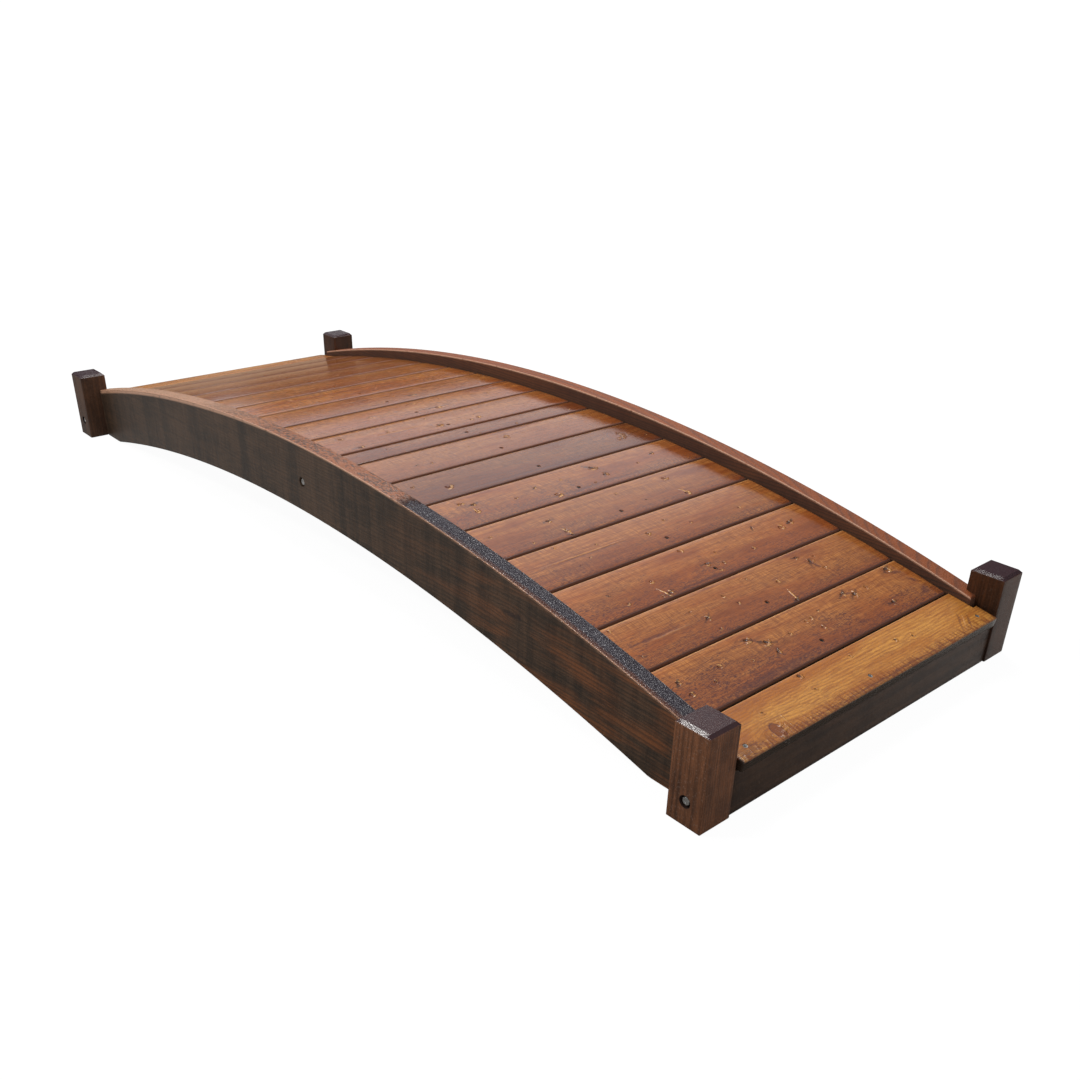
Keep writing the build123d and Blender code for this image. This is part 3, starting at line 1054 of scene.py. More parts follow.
def beam_timber(finish):
    """Arched beams: thick dark stain over fine grain and saw bands, and worn or gritty curb tops.

    The front beam is olive brown with warm blotches near its +X end, and the back beam is redder.
    """
    material, wiring = new_material("beam_timber")
    grain = wiring.attribute("grain")
    figure = timber_figure(wiring, grain, 0.0070, 0.050)
    place = wiring.place()
    x, y, _ = wiring.split(place)
    below, inward, wear = wiring.split(wiring.attribute("rim"))
    back = y.step(-0.1, 0.1)
    front = 1.0 - back
    bands = wiring.noise(place, (30.0, 1.0, 1.2), 4.0, 0.75)
    cloud = wiring.noise(grain, (5.0, 14.0, 14.0), 3.0, 0.6, 0.6)
    soft = wiring.noise(grain, (4.0, 26.0, 26.0), 3.0, 0.6, 0.5)

    sides = {0: back, 2: x.step(0.15, 1.10), 3: 0.25}
    near_end = wiring.take("ShaderNodeMix", 0, sides, data_type="FLOAT")
    warm = (soft + cloud * 0.9).step(0.84, 1.22) * near_end
    stained = wiring.coats(
        finish.beam_dark,
        ((soft * 0.4 + bands * 0.9 + figure["Fibre"] * 0.8).step(0.80, 1.28), finish.beam_brown),
        (back * 0.7, finish.beam_red),
        (warm * 0.75, finish.beam_warm),
        (figure["Ring"] * 0.55, finish.beam_dark),
        (figure["Pore"] * 0.30, finish.beam_dark),
        (figure["Core"] * 0.8, finish.knot_core_and_pocket_shade),
    )

    flake = wiring.noise(place, (80.0, 190.0, 190.0), 3.0, 0.75)
    rubbed = x.step(-0.1, -0.6, 0.0, 0.85) * front
    peel = (flake + cloud * 0.35).step(0.62, 0.76) * (back + rubbed).step(0.0, 1.0, 0.75, 0.15)
    worn = wiring.coats(
        finish.curb_worn,
        (figure["Streak"], finish.beam_warm),
        (back * 0.8, finish.curb_orange),
        (back * figure["Ring"] * 0.6, finish.beam_red),
        (rubbed, finish.arris_wear_and_glint),
        (peel, finish.beam_dark),
    )
    reddened = x.step(0.35, 0.80, 0.0, 0.8) * (y + flake * 0.012).step(-0.387, -0.396)
    # Painted highlight: pale specks on the thick stain of the front curb's top stand in for glints on its
    # grit.
    sparkle = wiring.noise(place, 400.0, 2.0, 0.7).step(0.55, 0.68, 0.0, 0.55)
    sparkle = sparkle * reddened.step(0.0, 0.8, 1.0, 0.3)
    thick = wiring.coats(finish.curb_dark, (reddened, finish.beam_red), (sparkle, finish.curb_painted_glints))
    worn_off = (wear + flake * 1.6 - 0.8).step(0.30, 0.70)

    top = below.step(0.0035, 0.0012)
    low_wear = x.step(0.0, -0.6) * front
    # The pale line along the beams' upper arrises is partly rubbed wood and partly a painted highlight.
    arris = below.step(0.0050 + low_wear * 0.007, 0.0015 + low_wear * 0.005)
    ragged = wiring.noise(place, 60.0, 3.0, 0.7).step(0.25, 0.45)
    arris = arris * inward.step(0.0030, 0.0006) * ragged
    curb = wiring.mix(worn_off, thick, worn)
    colour_now = wiring.coats(stained, (top, curb), (arris, finish.arris_wear_and_glint))

    gloss = wiring.larger(top, arris).step(0.0, 1.0, 0.40, 0.14) + back * 0.45
    pits = wiring.take("ShaderNodeTexVoronoi", "Distance", {"Vector": place, "Scale": 230.0})
    rough_coat = wiring.noise(place, 260.0, 2.0, 0.7) * 0.0045 + pits * 0.0016
    grit = rough_coat * top * worn_off.step(0.0, 1.0, 1.0, 0.25)
    relief = figure["Relief"] + saw_marks(wiring, grain, 0.012) * 0.00020 + grit
    wiring.surface(colour_now, gloss, relief, {"IOR": VARNISH_IOR})
    return material


def upright_timber(name, finish, dark, brown, top_height, pocket=None):
    """Posts and fascias: dark stained softwood with fine light grain, darker at its foot by painted shade,
    glossy post tops.

    Inside a post's bolt pocket, a circle about its place along X and its height, painted shade makes the wood
    nearly black.
    """
    material, wiring = new_material(name)
    grain = wiring.attribute("grain")
    figure = timber_figure(wiring, grain, 0.0052, 0.014)
    place = wiring.place()
    x, _, z = wiring.split(place)
    cloud = wiring.noise(place, 14.0, 3.0, 0.6)
    grit = wiring.noise(place, 330.0, 2.0, 0.7)
    colour_now = wiring.coats(
        dark,
        # Painted shade: the brown grain fades with height, so the timber darkens towards the ground.
        ((figure["Streak"] + cloud * 0.8 + z * 0.6).step(0.60, 1.20), brown),
        (figure["Ring"] * 0.40, dark),
        (figure["Fibre"].step(0.4, 0.7, 0.0, 0.5), dark),
        (figure["Pore"] * 0.3, dark),
        (grit.step(0.56, 0.70, 0.0, 0.35), finish.post_speck),
        (figure["Core"] * 0.8, finish.knot_core_and_pocket_shade),
    )
    colour_now = wiring.stretch(colour_now, wiring.attribute("tone"))
    capped = z.step(top_height - 0.0065, top_height - 0.0045)
    colour_now = wiring.mix(capped * 0.9, colour_now, finish.post_top)
    if pocket:
        middle, height, radius = pocket
        # Painted shade: the wood inside the bolt pocket is darkened nearly to black.
        painted_pocket_shade = wiring.reach(abs(x) - middle, z - height).step(radius + 0.0006, radius + 0.0002)
        colour_now = wiring.mix(painted_pocket_shade * 0.9, colour_now, finish.knot_core_and_pocket_shade)
    gloss = (capped + grit * 0.1).step(0.0, 1.1, 0.42, 0.15)
    relief = figure["Relief"] + saw_marks(wiring, grain, 0.007) * 0.00008
    relief = relief + grit * capped.step(0.0, 1.0, 0.00012, 0.00009)
    wiring.surface(colour_now, gloss, relief, {"IOR": VARNISH_IOR, "Specular IOR Level": 0.35})
    return material


def frame_timber(finish, name, quarter_turn):
    """Bearer, ledgers and blocks under the deck: thinly stained softwood, its grain along X or turned."""
    material, wiring = new_material(name)
    inputs = {
        "Vector": wiring.place(), "Rotation": (0.0, 0.0, quarter_turn), "Location": (3.0, 0.05, 0.06)
    }
    grain = wiring.take("ShaderNodeMapping", 0, inputs)
    figure = timber_figure(wiring, grain, 0.0055, 0.020, knotted=False)
    colour_now = wiring.coats(
        finish.frame_dark,
        (figure["Streak"].step(0.35, 0.65), finish.frame_light),
        (figure["Ring"] * 0.5, finish.frame_dark),
    )
    relief = figure["Relief"] + saw_marks(wiring, grain, 0.006) * 0.00018
    wiring.surface(colour_now, figure["Fibre"].step(0.3, 0.7, 0.5, 0.65), relief, {})
    return material


def plated_steel(name, tint, metallic, low_rough, high_rough):
    """Steel fasteners: a tint with fine dull spots, worn smoother in places."""
    material, wiring = new_material(name)
    spots = wiring.noise(wiring.place(), 900.0, 3.0, 0.6)
    dull = tuple(DULL_SHARE * part for part in tint)
    colour_now = wiring.mix(spots.step(0.4, 0.65), dull, tint)
    gloss = spots.step(0.35, 0.65, high_rough, low_rough)
    wiring.surface(colour_now, gloss, spots * 0.00003, {"Metallic": metallic})
    return material


# Pieces

# Seeds of the chance draws of each step
SEEDS = {"deck": 21, "ends": 5, "posts": 3, "fascias": 9, "screws": 17}
# Both ends and both long sides of the bridge, with the sign of X or Y there
ENDS = ((1, "right"), (-1, "left"))
ROWS = ((-1, "front"), (1, "back"))
# Places along Y of the deck's row of screws and of the end boards' middle screws, and the share of the screws'
# offset that the narrow filler board has
SCREW_LINE = -0.004
END_SCREW_LINE = -0.010
FILLER_SHARE = 1 / 8
# A screw head's width as a share of its countersink's, and how deep the deck's heads are sunk
HEAD_SHARE = 0.92
HEAD_SUNK = 0.0009
# Most that a deck board ends short of its place, and that it leans off the arc, in degrees, and the least
# share of the full crown that it has
END_PLAY = 0.0015
LEAN_PLAY = 0.25
LEAST_CUP = 0.6
# Number of rings along a deck board, and along an end board or a fascia, without its rounded ends
BOARD_STATIONS = 40
END_BOARD_STATIONS = 48
# The end boards' crown, and the looks between which their knots lie
END_BOARD_CUP = 0.0004
END_KNOT_LOOKS = ((0.0, 0.7, 0.1), (0.5, 0.9, 0.3))
# Knots of the beams and of the fascias: along, upwards and radius, in metres
BEAM_KNOTS = [(0.721, 0.158, 0.010), (-0.55, 0.12, 0.008), (0.18, 0.21, 0.006), (-0.2, 0.17, 0.006)]
FASCIA_KNOTS = [(0.12, 0.05, 0.007), (-0.21, 0.03, 0.006)]
# Places along X to which the curbs are worn from the -X end, and the length over which the wear fades
WORN_TO = {"front": 0.38, "back": 2.0}
WORN_FADE = 0.10
# Ranges for the pith's place along, across and in depth, which is fixed for the fascias, the beams' pith, and
# range of a small knot's radius
BOARD_PITH = ((0, 40), (-0.05, 0.05), (0.03, 0.14))
POST_PITH = ((0, 30), (-0.09, 0.09), (0.05, 0.12))
FASCIA_PITH = ((0, 30), (-0.1, 0.1))
FASCIA_PITH_DEPTH = 0.1
BEAM_PITH = (5, 0.35, -0.5)
SMALL_KNOT = (0.0022, 0.0045)
# How metallic each steel is, and its roughness where it is worn and where it is dull
DARK_STEEL = (0.6, 0.35, 0.55)
ZINC_SCREW = (1.0, 0.40, 0.60)
ZINC_BOLT = (1.0, 0.40, 0.55)
# Share of the zinc's brightness that the end screws keep
SCREW_TINT = 0.5
# A mark of both kinds that lies too far away to show
FAR_MARK = (5000, 5000, 1, 1, 0, 0)


class BridgeStep:
    """What the operators of the pieces share: make works with the scene's sizes and colours."""

    def execute(self, context):
        self.make(context.scene.bridge_sizes, context.scene.bridge_finish)
        return {"FINISHED"}


def slid(origin, across, tilt):
    """X and Z of a point moved across a tilted board."""
    return origin[0] + across * math.cos(tilt), origin[1] - across * math.sin(tilt)


def deck_pivot():
    """Height of the point round which the boards are laid: as far from one box's middle as from another's."""
    middles = []
    for node in (DECK_NODES[0], FILLER_NODE):
        low, high = corner_span(node)
        middles.append(((low[0] + high[0]) / 2, (low[2] + high[2]) / 2))
    (x_one, z_one), (x_two, z_two) = middles
    return (x_one**2 + z_one**2 - x_two**2 - z_two**2) / (2 * (z_one - z_two))


def deck_place(node, sizes):
    """A deck board's width, tilt, ends along Y and the middle of its top, worked out from its box."""
    low, high = corner_span(node)
    middle = (low + high) / 2
    tilt = math.atan2(middle[0], middle[2] - deck_pivot())
    thickness, edge = sizes.board_thickness, sizes.board_edge
    reach = (high[0] - low[0]) / 2
    half_width = (reach - edge - (thickness / 2 - edge) * abs(math.sin(tilt))) / math.cos(tilt) + edge
    top = (middle[0] + thickness / 2 * math.sin(tilt), middle[2] + thickness / 2 * math.cos(tilt))
    return 2 * half_width, tilt, (low[1], high[1]), top


def deck_screw_place(node, sizes):
    """Where a deck board's screw goes: on the row of screws, off the board's middle towards +X."""
    _, tilt, _, top = deck_place(node, sizes)
    offset = sizes.screw_offset if node != FILLER_NODE else sizes.screw_offset * FILLER_SHARE
    x, z = slid(top, offset, tilt)
    return (x, SCREW_LINE, z), tilt


def pith_place(draw, ranges):
    """A chance place for the pith of a timber, which sets where its rings lie."""
    return np.array([draw.uniform(low, high) for low, high in ranges])


def finish_board(mesh, local, width, knots, marks, tone, draw, *looks):
    """Store what a board's material reads: grain about its own pith, knots, marks, place across, and tone."""
    store(mesh, "grain", local + pith_place(draw, BOARD_PITH))
    store_knots(mesh, local[:, :2], knots, *looks)
    half_length = np.abs(local[:, 0]).max()
    store(mesh, "share", np.column_stack([2 * local[:, 1] / width, local[:, 0] / half_length, local[:, 2]]))
    store(mesh, "tone", np.tile(tone, (len(local), 1)))
    store_marks(mesh, local[:, :2], marks)


def scattered_knots(draw, count, half_length, half_width):
    """A few small knots at chance places on a board."""
    along = draw.uniform(-half_length, half_length, count)
    across = draw.uniform(-half_width, half_width, count)
    return np.column_stack([along, across, draw.uniform(*SMALL_KNOT, count)])


def in_metres(marks):
    """Marks with their places and sizes in metres, and the one that lies far away."""
    marks = np.array([*marks, FAR_MARK], dtype=float)
    marks[:, :4] /= 1000
    return marks


class BRIDGE_OT_lay_deck_boards(BridgeStep, bpy.types.Operator):
    """Lay the deck boards across the beams, each a little different in width, cup, grain and tone"""

    bl_idname = "bridge.lay_deck_boards"
    bl_label = "Lay deck boards"

    def make(self, sizes, finish):
        material = deck_timber(finish)
        thickness, edge = sizes.board_thickness, sizes.board_edge
        draw = np.random.default_rng(SEEDS["deck"])
        for number_in_row, node in enumerate(DECK_NODES, start=1):
            width, tilt, (low, high), top = deck_place(node, sizes)
            width -= draw.uniform(0, sizes.board_play)
            cup = draw.uniform(LEAST_CUP * sizes.board_cup, sizes.board_cup)
            ends = draw.uniform(-END_PLAY, 0.0, 2)
            lean = tilt + math.radians(draw.uniform(-LEAN_PLAY, LEAN_PLAY))
            low_end, high_end = low - ends[0], high + ends[1]
            rings = board_rings(width, thickness, edge, low_end, high_end, cup, BOARD_STATIONS)
            place, _ = deck_screw_place(node, sizes)
            hole = countersink_skin(place, lean, sizes.screw_diameter)
            mesh = cut_away(f"deck_plank_{number_in_row:02d}", skin(placed(rings, top, lean)), hole)
            local = unplaced(points_of(mesh), top, lean)
            seen = np.array(DECK_KNOTS.get(number_in_row, []), dtype=float).reshape(-1, 3) / 1000
            knots = np.concatenate([seen, scattered_knots(draw, 2, high, width / 2)])
            marks = in_metres(DECK_MARKS.get(number_in_row, []))
            tone = DECK_TONES[(number_in_row - 1) % len(DECK_TONES)]
            finish_board(mesh, local, width, knots, marks, tone, draw)
            add_piece(mesh, material, "deck_timber", node)


def end_board_middle(shape, sizes):
    """Middle of an end board's top, as X and Z, at the +X end."""
    return slid((shape.board_back, shape.board_top), sizes.end_board_width / 2, shape.tilt)


def end_screw_places(shape, sizes):
    """Screws of the end board at the +X end: three in a row near its front edge."""
    across = sizes.end_board_width / 2 - sizes.end_screw_inset
    x, z = slid(end_board_middle(shape, sizes), across, shape.tilt)
    return [(x, y, z) for y in (-sizes.end_screw_reach, END_SCREW_LINE, sizes.end_screw_reach)]


class BRIDGE_OT_lay_end_boards(BridgeStep, bpy.types.Operator):
    """Lay the tilted end boards, notched round the curb ends"""

    bl_idname = "bridge.lay_end_boards"
    bl_label = "Lay end boards"

    def make(self, sizes, finish):
        material = end_board_timber(finish)
        shape = BeamShape(sizes)
        tilt = shape.tilt
        origin = end_board_middle(shape, sizes)
        width, thickness = sizes.end_board_width, sizes.board_thickness
        notch = (shape.curb_end + sizes.curb_notch_gap - shape.board_back) / math.cos(tilt) - width / 2
        notch_start = corner_span(DECK_NODES[0])[1][1]
        notch_ends = np.array([[notch_start], [2 * notch_start]])
        notch_depth = (-2 * thickness, -2 * thickness, thickness, thickness)
        notch_box = grid(notch_ends, (-width, notch, notch, -width), notch_depth)
        draw = np.random.default_rng(SEEDS["ends"])
        for side, label in ENDS:
            node = f"end_board_{label}"
            low, high = corner_span(node)
            mirror = np.array([side, 1, 1])
            edge = sizes.end_board_edge
            rings = board_rings(
                width, thickness, edge, low[1], high[1], END_BOARD_CUP, END_BOARD_STATIONS
            )
            cutters = []
            for hand in (-1, 1):
                box = notch_box * np.array([hand, 1, 1])
                cutters.append(skin(placed(box, origin, tilt) * mirror))
            for place in end_screw_places(shape, sizes):
                cutters.append(countersink_skin(np.array(place) * mirror, side * tilt, sizes.screw_diameter))
            mesh = cut_away(f"end_plank_{label}", skin(placed(rings, origin, tilt) * mirror), *cutters)
            local = unplaced(points_of(mesh) * mirror, origin, tilt)
            knots = np.array(END_BOARD_KNOTS, dtype=float) / 1000 * mirror
            marks = in_metres(END_BOARD_MARKS) * np.array([side, 1, 1, 1, side, 1])
            finish_board(mesh, local, width, knots, marks, END_BOARD_TONE, draw, *END_KNOT_LOOKS)
            add_piece(mesh, material, "end_board_timber", node)


class BRIDGE_OT_raise_beams(BridgeStep, bpy.types.Operator):
    """Raise the two arched beams, with a bolt pocket in the middle of each outer face"""

    bl_idname = "bridge.raise_beams"
    bl_label = "Raise beams"

    def make(self, sizes, finish):
        material = beam_timber(finish)
        shape = BeamShape(sizes)
        pith_along, pith_up, pith_inward = BEAM_PITH
        for side, label in ROWS:
            pocket = pocket_skin(0, side * shape.outer, sizes.tie_bolt_height, sizes)
            mesh = cut_away(f"arched_beam_{label}", skin(beam_rings(shape, sizes, side)), pocket)
            points = points_of(mesh)
            x, y, z = points.T
            store(mesh, "grain", grid(x + pith_along * side, z + pith_up, np.abs(y) + pith_inward))
            store_knots(mesh, points[:, [0, 2]], BEAM_KNOTS)
            inward = np.minimum(np.abs(y) - shape.inner, shape.outer - np.abs(y))
            wear = np.clip((WORN_TO[label] - x) / WORN_FADE + 0.5, 0, 1)
            store(mesh, "rim", np.column_stack([shape.top(np.abs(x)) - z, inward, wear]))
            add_piece(mesh, material, "beam_timber", f"stringer_{label}")


def post_rings(low, high, sizes):
    """Rings of a post: a square with round corners carried up, eased at its foot and chamfered at its top."""
    width = high[0] - low[0]
    outline = rounded_outline(width, high[1] - low[1], sizes.post_edge, 6, 6)
    chamfer, ease = sizes.post_chamfer, sizes.post_edge / 3
    straight = np.linspace(ease, high[2] - chamfer - ease, 12)
    heights = np.concatenate([[0], straight, high[2] - np.array([chamfer, 0, 0])])
    insets = np.concatenate([[ease], np.zeros(len(straight)), [0, chamfer, 2 * chamfer]])
    scale = 1 - 2 * insets / width
    middle = (low + high) / 2
    x, y = np.moveaxis(middle[:2] + outline * scale[:, None, None], -1, 0)
    return grid(x, y, heights[:, None])


class BRIDGE_OT_set_posts(BridgeStep, bpy.types.Operator):
    """Set a short post outside each beam end, notched over the beam and bored for its bolt"""

    bl_idname = "bridge.set_posts"
    bl_label = "Set posts"

    def make(self, sizes, finish):
        shape = BeamShape(sizes)
        first_low, first_high = corner_span("post_front_right")
        painted_pocket_shade = ((first_low[0] + first_high[0]) / 2, sizes.post_bolt_height, sizes.pocket_diameter / 2)
        material = upright_timber(
            "post_timber", finish, finish.post_dark, finish.post_brown, first_high[2], painted_pocket_shade
        )
        draw = np.random.default_rng(SEEDS["posts"])
        for side, row in ROWS:
            beam = beam_rings(shape, sizes, side)
            beam[..., 2] = np.where(beam[..., 2] <= sizes.beam_edge, -sizes.beam_edge, beam[..., 2])
            for label in ("right", "left"):
                node = f"post_{row}_{label}"
                low, high = corner_span(node)
                middle = (low + high) / 2
                face = low[1] if side < 0 else high[1]
                pocket = pocket_skin(middle[0], face, sizes.post_bolt_height, sizes)
                blank = skin(post_rings(low, high, sizes))
                mesh = cut_away(f"corner_post_{row}_{label}", blank, skin(beam), pocket)
                local = (points_of(mesh) - middle)[:, [2, 0, 1]]
                store(mesh, "grain", local + pith_place(draw, POST_PITH))
                store_knots(mesh, local[:, :2], [FAR_KNOT])
                store(mesh, "tone", np.tile(POST_TONES[f"{row}_{label}"], (len(local), 1)))
                add_piece(mesh, material, "post_timber", node)


class BRIDGE_OT_fix_fascias(BridgeStep, bpy.types.Operator):
    """Fix the upright boards that close the ends under the end boards"""

    bl_idname = "bridge.fix_fascias"
    bl_label = "Fix fascias"

    def make(self, sizes, finish):
        shape = BeamShape(sizes)
        material = upright_timber("fascia_timber", finish, finish.fascia_dark, finish.fascia_brown, 1.0)
        low, high = corner_span("end_fascia_right")
        height = shape.seat(high[0])
        thickness, edge = high[0] - low[0], sizes.board_edge / 2
        rings = board_rings(height, thickness, edge, low[1], high[1], 0.0, END_BOARD_STATIONS)
        upright = placed(rings, (high[0], height / 2), math.pi / 2)
        upright[..., 2] *= shape.seat(upright[..., 0]) / height
        draw = np.random.default_rng(SEEDS["fascias"])
        for side, label in ENDS:
            mesh = mesh_of(f"fascia_board_{label}", skin(upright * np.array([side, 1, 1])))
            local = points_of(mesh)[:, [1, 2, 0]]
            pith = (*pith_place(draw, FASCIA_PITH), FASCIA_PITH_DEPTH - side * high[0])
            store(mesh, "grain", local + pith)
            store_knots(mesh, local[:, :2], FASCIA_KNOTS)
            store(mesh, "tone", np.ones(local.shape))
            add_piece(mesh, material, "fascia_timber", f"end_fascia_{label}")


class BRIDGE_OT_stain_frame(BridgeStep, bpy.types.Operator):
    """Stain the bearer, ledgers and blocks under the deck"""

    bl_idname = "bridge.stain_frame"
    bl_label = "Stain frame"

    def make(self, sizes, finish):
        lengthwise = frame_timber(finish, "frame_timber", 0.0)
        crosswise = frame_timber(finish, "block_timber", math.pi / 2)
        for material, nodes in (
            (lengthwise, ("centre_bearer", "side_ledger_front", "side_ledger_back")),
            (crosswise, ("cross_block_front", "cross_block_back")),
        ):
            for node in nodes:
                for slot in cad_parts[node].material_slots:
                    slot.material = material


class BRIDGE_OT_drive_screws(BridgeStep, bpy.types.Operator):
    """Drive one dark screw into each deck board and three bright ones into each end board"""

    bl_idname = "bridge.drive_screws"
    bl_label = "Drive screws"

    def make(self, sizes, finish):
        draw = np.random.default_rng(SEEDS["screws"])
        shape = BeamShape(sizes)
        head = sizes.screw_diameter * HEAD_SHARE

        def driven(place, tilt, sunk):
            """Skin of a screw head that is sunk below this place and turned by chance."""
            low = np.array(place) - sunk * np.array([math.sin(tilt), 0, math.cos(tilt)])
            return screw_skin(low, tilt, draw.uniform(0, math.pi / 2), head)

        deck_screws = [driven(*deck_screw_place(node, sizes), HEAD_SUNK) for node in DECK_NODES]
        end_screws = []
        for side in (1, -1):
            for x, y, z in end_screw_places(shape, sizes):
                end_screws.append(driven((side * x, y, z), side * shape.tilt, HEAD_SUNK / 3))
        dark = plated_steel("dark_steel", finish.dark_steel, *DARK_STEEL)
        zinc = plated_steel("zinc_screws", tuple(SCREW_TINT * part for part in finish.zinc), *ZINC_SCREW)
        add_piece(mesh_of("deck_screws", *deck_screws), dark, "dark_steel")
        add_piece(mesh_of("end_board_screws", *end_screws), zinc, "zinc_steel")


class BRIDGE_OT_fit_bolts(BridgeStep, bpy.types.Operator):
    """Fit a hexagon bolt and washer into each pocket of the posts and beams"""

    bl_idname = "bridge.fit_bolts"
    bl_label = "Fit bolts"

    def make(self, sizes, finish):
        shape = BeamShape(sizes)
        post_low, post_high = corner_span("post_front_right")
        post_middle = (post_low[0] + post_high[0]) / 2
        skins = []
        for side in (-1, 1):
            for x, face, z in (
                (0.0, shape.outer, sizes.tie_bolt_height),
                (post_middle, -post_low[1], sizes.post_bolt_height),
                (-post_middle, -post_low[1], sizes.post_bolt_height),
            ):
                floor = side * (face - sizes.pocket_depth)
                skins += hex_bolt_skins(x, floor, z, side, sizes)
        zinc = plated_steel("zinc_steel", finish.zinc, *ZINC_BOLT)
        add_piece(mesh_of("pocket_bolts", *skins), zinc, "zinc_steel")


# Stage

# Brightness of the hedge on the far side and of the sky behind the camera, and colours of what gloss mirrors
HEDGE_LEVEL = 0.015
NEAR_SKY_LEVEL = 0.36
SIDE_SKY_LEVEL = 0.75
SKY_COLOUR = (0.95, 0.96, 1.0)
GROUND_COLOUR = (0.36, 0.35, 0.34)
FAR_GROUND_COLOUR = (0.40, 0.30, 0.22)
UNDERFOOT_COLOUR = (0.09, 0.08, 0.07)
# The floor as the camera sees it, as it throws light back, and the strength that makes it white
FLOOR_PALE = (0.82, 0.82, 0.82)
FLOOR_BOUNCE = (0.35, 0.35, 0.35)
FLOOR_WHITE = 1.045
WHITE = (1.0, 1.0, 1.0)
# Half size of the floor and how far it lies below the feet, the wall's radius and its foot and top
FLOOR_REACH = 40.0
FLOOR_DROP = 0.0005
WALL_RADIUS = 38.0
WALL_SPAN = (-1, 30)
# Widths and colour of the lamps, share of the glint's strength that the far one has, and width of the
# camera's sensor in millimetres
KEY_SIZE = 1.6
GLINT_SIZE = 0.55
FAR_GLINT_SIZE = 0.35
FAR_GLINT_SHARE = 1 / 5
LAMP_COLOUR = (1.0, 0.985, 0.96)
SENSOR_WIDTH = 36.0


def studio_sky(level):
    """World light: a pale sky over the far side that the varnish mirrors, and a dimmer sky on the near side.

    The far sky is brightest towards -X and dim straight across. It stands above a dark hedge, which is lower
    in a gap near the -X end. The near sky is brighter towards +X. Below the horizon lies ground, browner
    beyond the -X end.
    """
    world = bpy.data.worlds.new("studio sky")
    world.use_nodes = True
    wiring = Wiring(world.node_tree)
    x, y, z = wiring.split(wiring.place("Generated"))
    far_side = (x * -0.75 + y * 0.66).step(-0.15, 0.35)
    hedge_top = wiring.larger(y.step(0.41, 0.435, 0.10, 0.218), y.step(0.385, 0.355, 0.10, 0.32))
    far_sky = (z - hedge_top).step(-0.01, 0.03) * x.step(-0.56, -0.42, level, level * 0.48)
    far_sky = far_sky * y.step(0.765, 0.79, 1.0, 0.35) + HEDGE_LEVEL
    near_sky = x.step(0.0, 0.8, NEAR_SKY_LEVEL, SIDE_SKY_LEVEL)
    sky = far_sky * far_side + near_sky * (1.0 - far_side)
    ground = wiring.coats(
        GROUND_COLOUR,
        (x.step(-0.4, -0.8) * y.step(0.0, 0.2), FAR_GROUND_COLOUR),
        (z.step(-0.40, -0.58), UNDERFOOT_COLOUR),
    )
    ground = wiring.brighten(ground, y.step(0.80, 0.86, 1.0, 2.6))
    light = wiring.mix(z.step(-0.015, 0.015), ground, wiring.brighten(SKY_COLOUR, sky))
    background = wiring.take("ShaderNodeBackground", 0, {"Color": light, "Strength": 1.0})
    wiring.add("ShaderNodeOutputWorld", {"Surface": background})
    return world


def white_to_camera(name, shade, see_through):
    """Pale matt floor or wall: the camera sees it as white with this share of its shading near the object.

    Where see_through is one, it is clear from behind, so that the bridge can be looked at from below.
    """
    material, wiring = new_material(name)
    path = wiring.all_of(wiring.add("ShaderNodeLightPath"))
    seen = wiring.larger(path["Is Camera Ray"], path["Is Glossy Ray"])
    seen = wiring.larger(seen, path["Is Transmission Ray"])
    matt = wiring.take("ShaderNodeBsdfDiffuse", 0, {"Color": wiring.mix(seen, FLOOR_BOUNCE, FLOOR_PALE)})
    white = wiring.take("ShaderNodeEmission", 0, {"Color": WHITE, "Strength": FLOOR_WHITE})
    x, y, _ = wiring.split(wiring.place())
    whiteness = seen * wiring.reach(x, y).step(1.6, 4.5, 1.0 - shade, 1.0)
    front = wiring.take("ShaderNodeMixShader", 0, {0: whiteness, 1: matt, 2: white})
    clear = wiring.take("ShaderNodeBsdfTransparent", 0)
    behind = wiring.take("ShaderNodeNewGeometry", "Backfacing") * see_through
    surface = wiring.take("ShaderNodeMixShader", 0, {0: behind, 1: front, 2: clear})
    wiring.add("ShaderNodeOutputMaterial", {"Surface": surface})
    return material


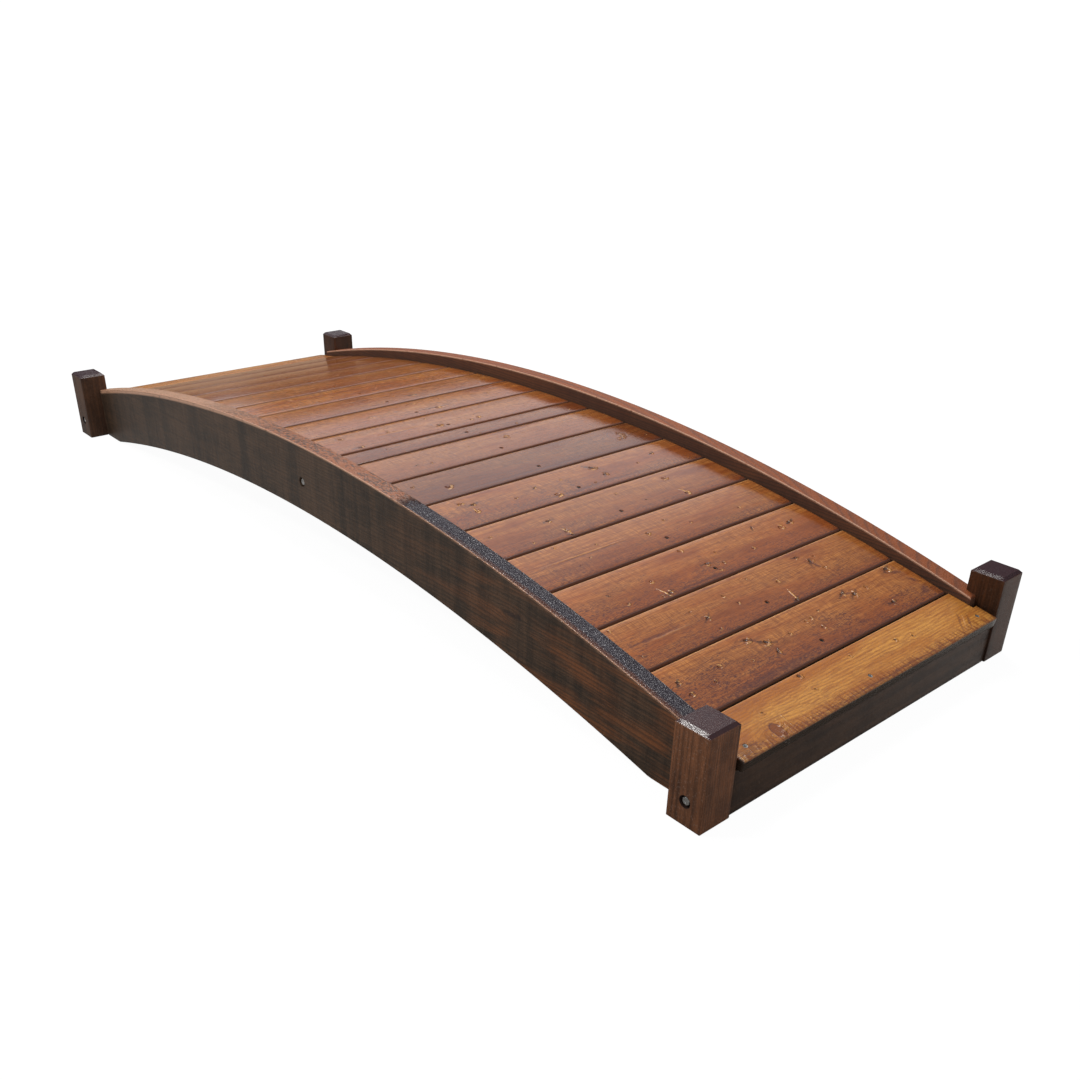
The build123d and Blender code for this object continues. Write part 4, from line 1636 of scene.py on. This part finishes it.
class BRIDGE_OT_set_stage(bpy.types.Operator):
    """Set the pale floor, the soft light and the camera"""

    bl_idname = "bridge.set_stage"
    bl_label = "Set stage"

    def execute(self, context):
        scene = context.scene
        stage = scene.bridge_stage
        scene.view_settings.view_transform = "Standard"
        scene.world = studio_sky(stage.sky_level)

        def stand(name, data):
            """A new object of the scene."""
            thing = bpy.data.objects.new(name, data)
            scene.collection.objects.link(thing)
            return thing

        x, y = np.array([(-1, 1, 1, -1), (-1, -1, 1, 1)]) * FLOOR_REACH
        floor_mesh = bpy.data.meshes.new("studio_floor")
        floor_mesh.from_pydata(grid(x, y, -FLOOR_DROP).tolist(), [], [(0, 1, 2, 3)])
        floor_mesh.materials.append(white_to_camera("pale_floor", stage.floor_shade, 1.0))
        floor = stand("studio_floor", floor_mesh)
        floor.visible_glossy = False
        wall_mesh = mesh_of("studio_wall", skin(revolved([WALL_RADIUS, WALL_RADIUS], WALL_SPAN, 64)))
        wall_mesh.materials.append(white_to_camera("pale_wall", 0.0, 0.0))
        wall = stand("studio_wall", wall_mesh)
        for ray in ("diffuse", "glossy", "transmission", "shadow", "volume_scatter"):
            setattr(wall, f"visible_{ray}", False)

        for name, place, size, watts in (
            ("key_light", stage.key_place, KEY_SIZE, stage.key_watts),
            ("glint_light", stage.glint_place, GLINT_SIZE, stage.glint_watts),
            ("far_glint_light", stage.far_glint_place, FAR_GLINT_SIZE, stage.glint_watts * FAR_GLINT_SHARE),
        ):
            light = bpy.data.lights.new(name, "AREA")
            light.shape = "DISK"
            light.size = size
            light.energy = watts
            light.color = LAMP_COLOUR
            lamp = stand(name, light)
            lamp.location = place
            lamp.rotation_mode = "QUATERNION"
            lamp.rotation_quaternion = (-lamp.location).to_track_quat("-Z", "Y")
            lamp.visible_camera = False

        data = bpy.data.cameras.new("photo_camera")
        data.sensor_width = SENSOR_WIDTH
        data.lens = stage.camera_lens
        data.shift_x, data.shift_y = stage.camera_shift_x, stage.camera_shift_y
        camera = stand("photo_camera", data)
        camera.location = stage.camera_place
        camera.rotation_euler = stage.camera_turn
        scene.camera = camera
        return {"FINISHED"}


STEPS = (
    BRIDGE_OT_raise_beams,
    BRIDGE_OT_lay_deck_boards,
    BRIDGE_OT_lay_end_boards,
    BRIDGE_OT_set_posts,
    BRIDGE_OT_fix_fascias,
    BRIDGE_OT_stain_frame,
    BRIDGE_OT_drive_screws,
    BRIDGE_OT_fit_bolts,
    BRIDGE_OT_set_stage,
)


class BRIDGE_PT_steps(bpy.types.Panel):
    """Lists the steps that make the bridge"""

    bl_idname = "BRIDGE_PT_steps"
    bl_label = "Arched garden bridge"
    bl_space_type = "VIEW_3D"
    bl_region_type = "UI"
    bl_category = "Bridge"

    def draw(self, context):
        for step in STEPS:
            self.layout.operator(step.bl_idname)


GROUPS = {"bridge_sizes": BridgeSizes, "bridge_finish": BridgeFinish, "bridge_stage": BridgeStage}


def register():
    """Register the classes and hang the property groups on the scene."""
    for kind in (*GROUPS.values(), *STEPS, BRIDGE_PT_steps):
        bpy.utils.register_class(kind)
    for name, kind in GROUPS.items():
        setattr(bpy.types.Scene, name, PointerProperty(type=kind))


def unregister():
    """Take the property groups and the classes away again."""
    for name in GROUPS:
        delattr(bpy.types.Scene, name)
    for kind in reversed((*GROUPS.values(), *STEPS, BRIDGE_PT_steps)):
        bpy.utils.unregister_class(kind)


def main():
    """Build the whole bridge on its stage."""
    register()
    for step in STEPS:
        area, action = step.bl_idname.split(".")
        getattr(getattr(bpy.ops, area), action)()


if __name__ == "__main__":
    main()
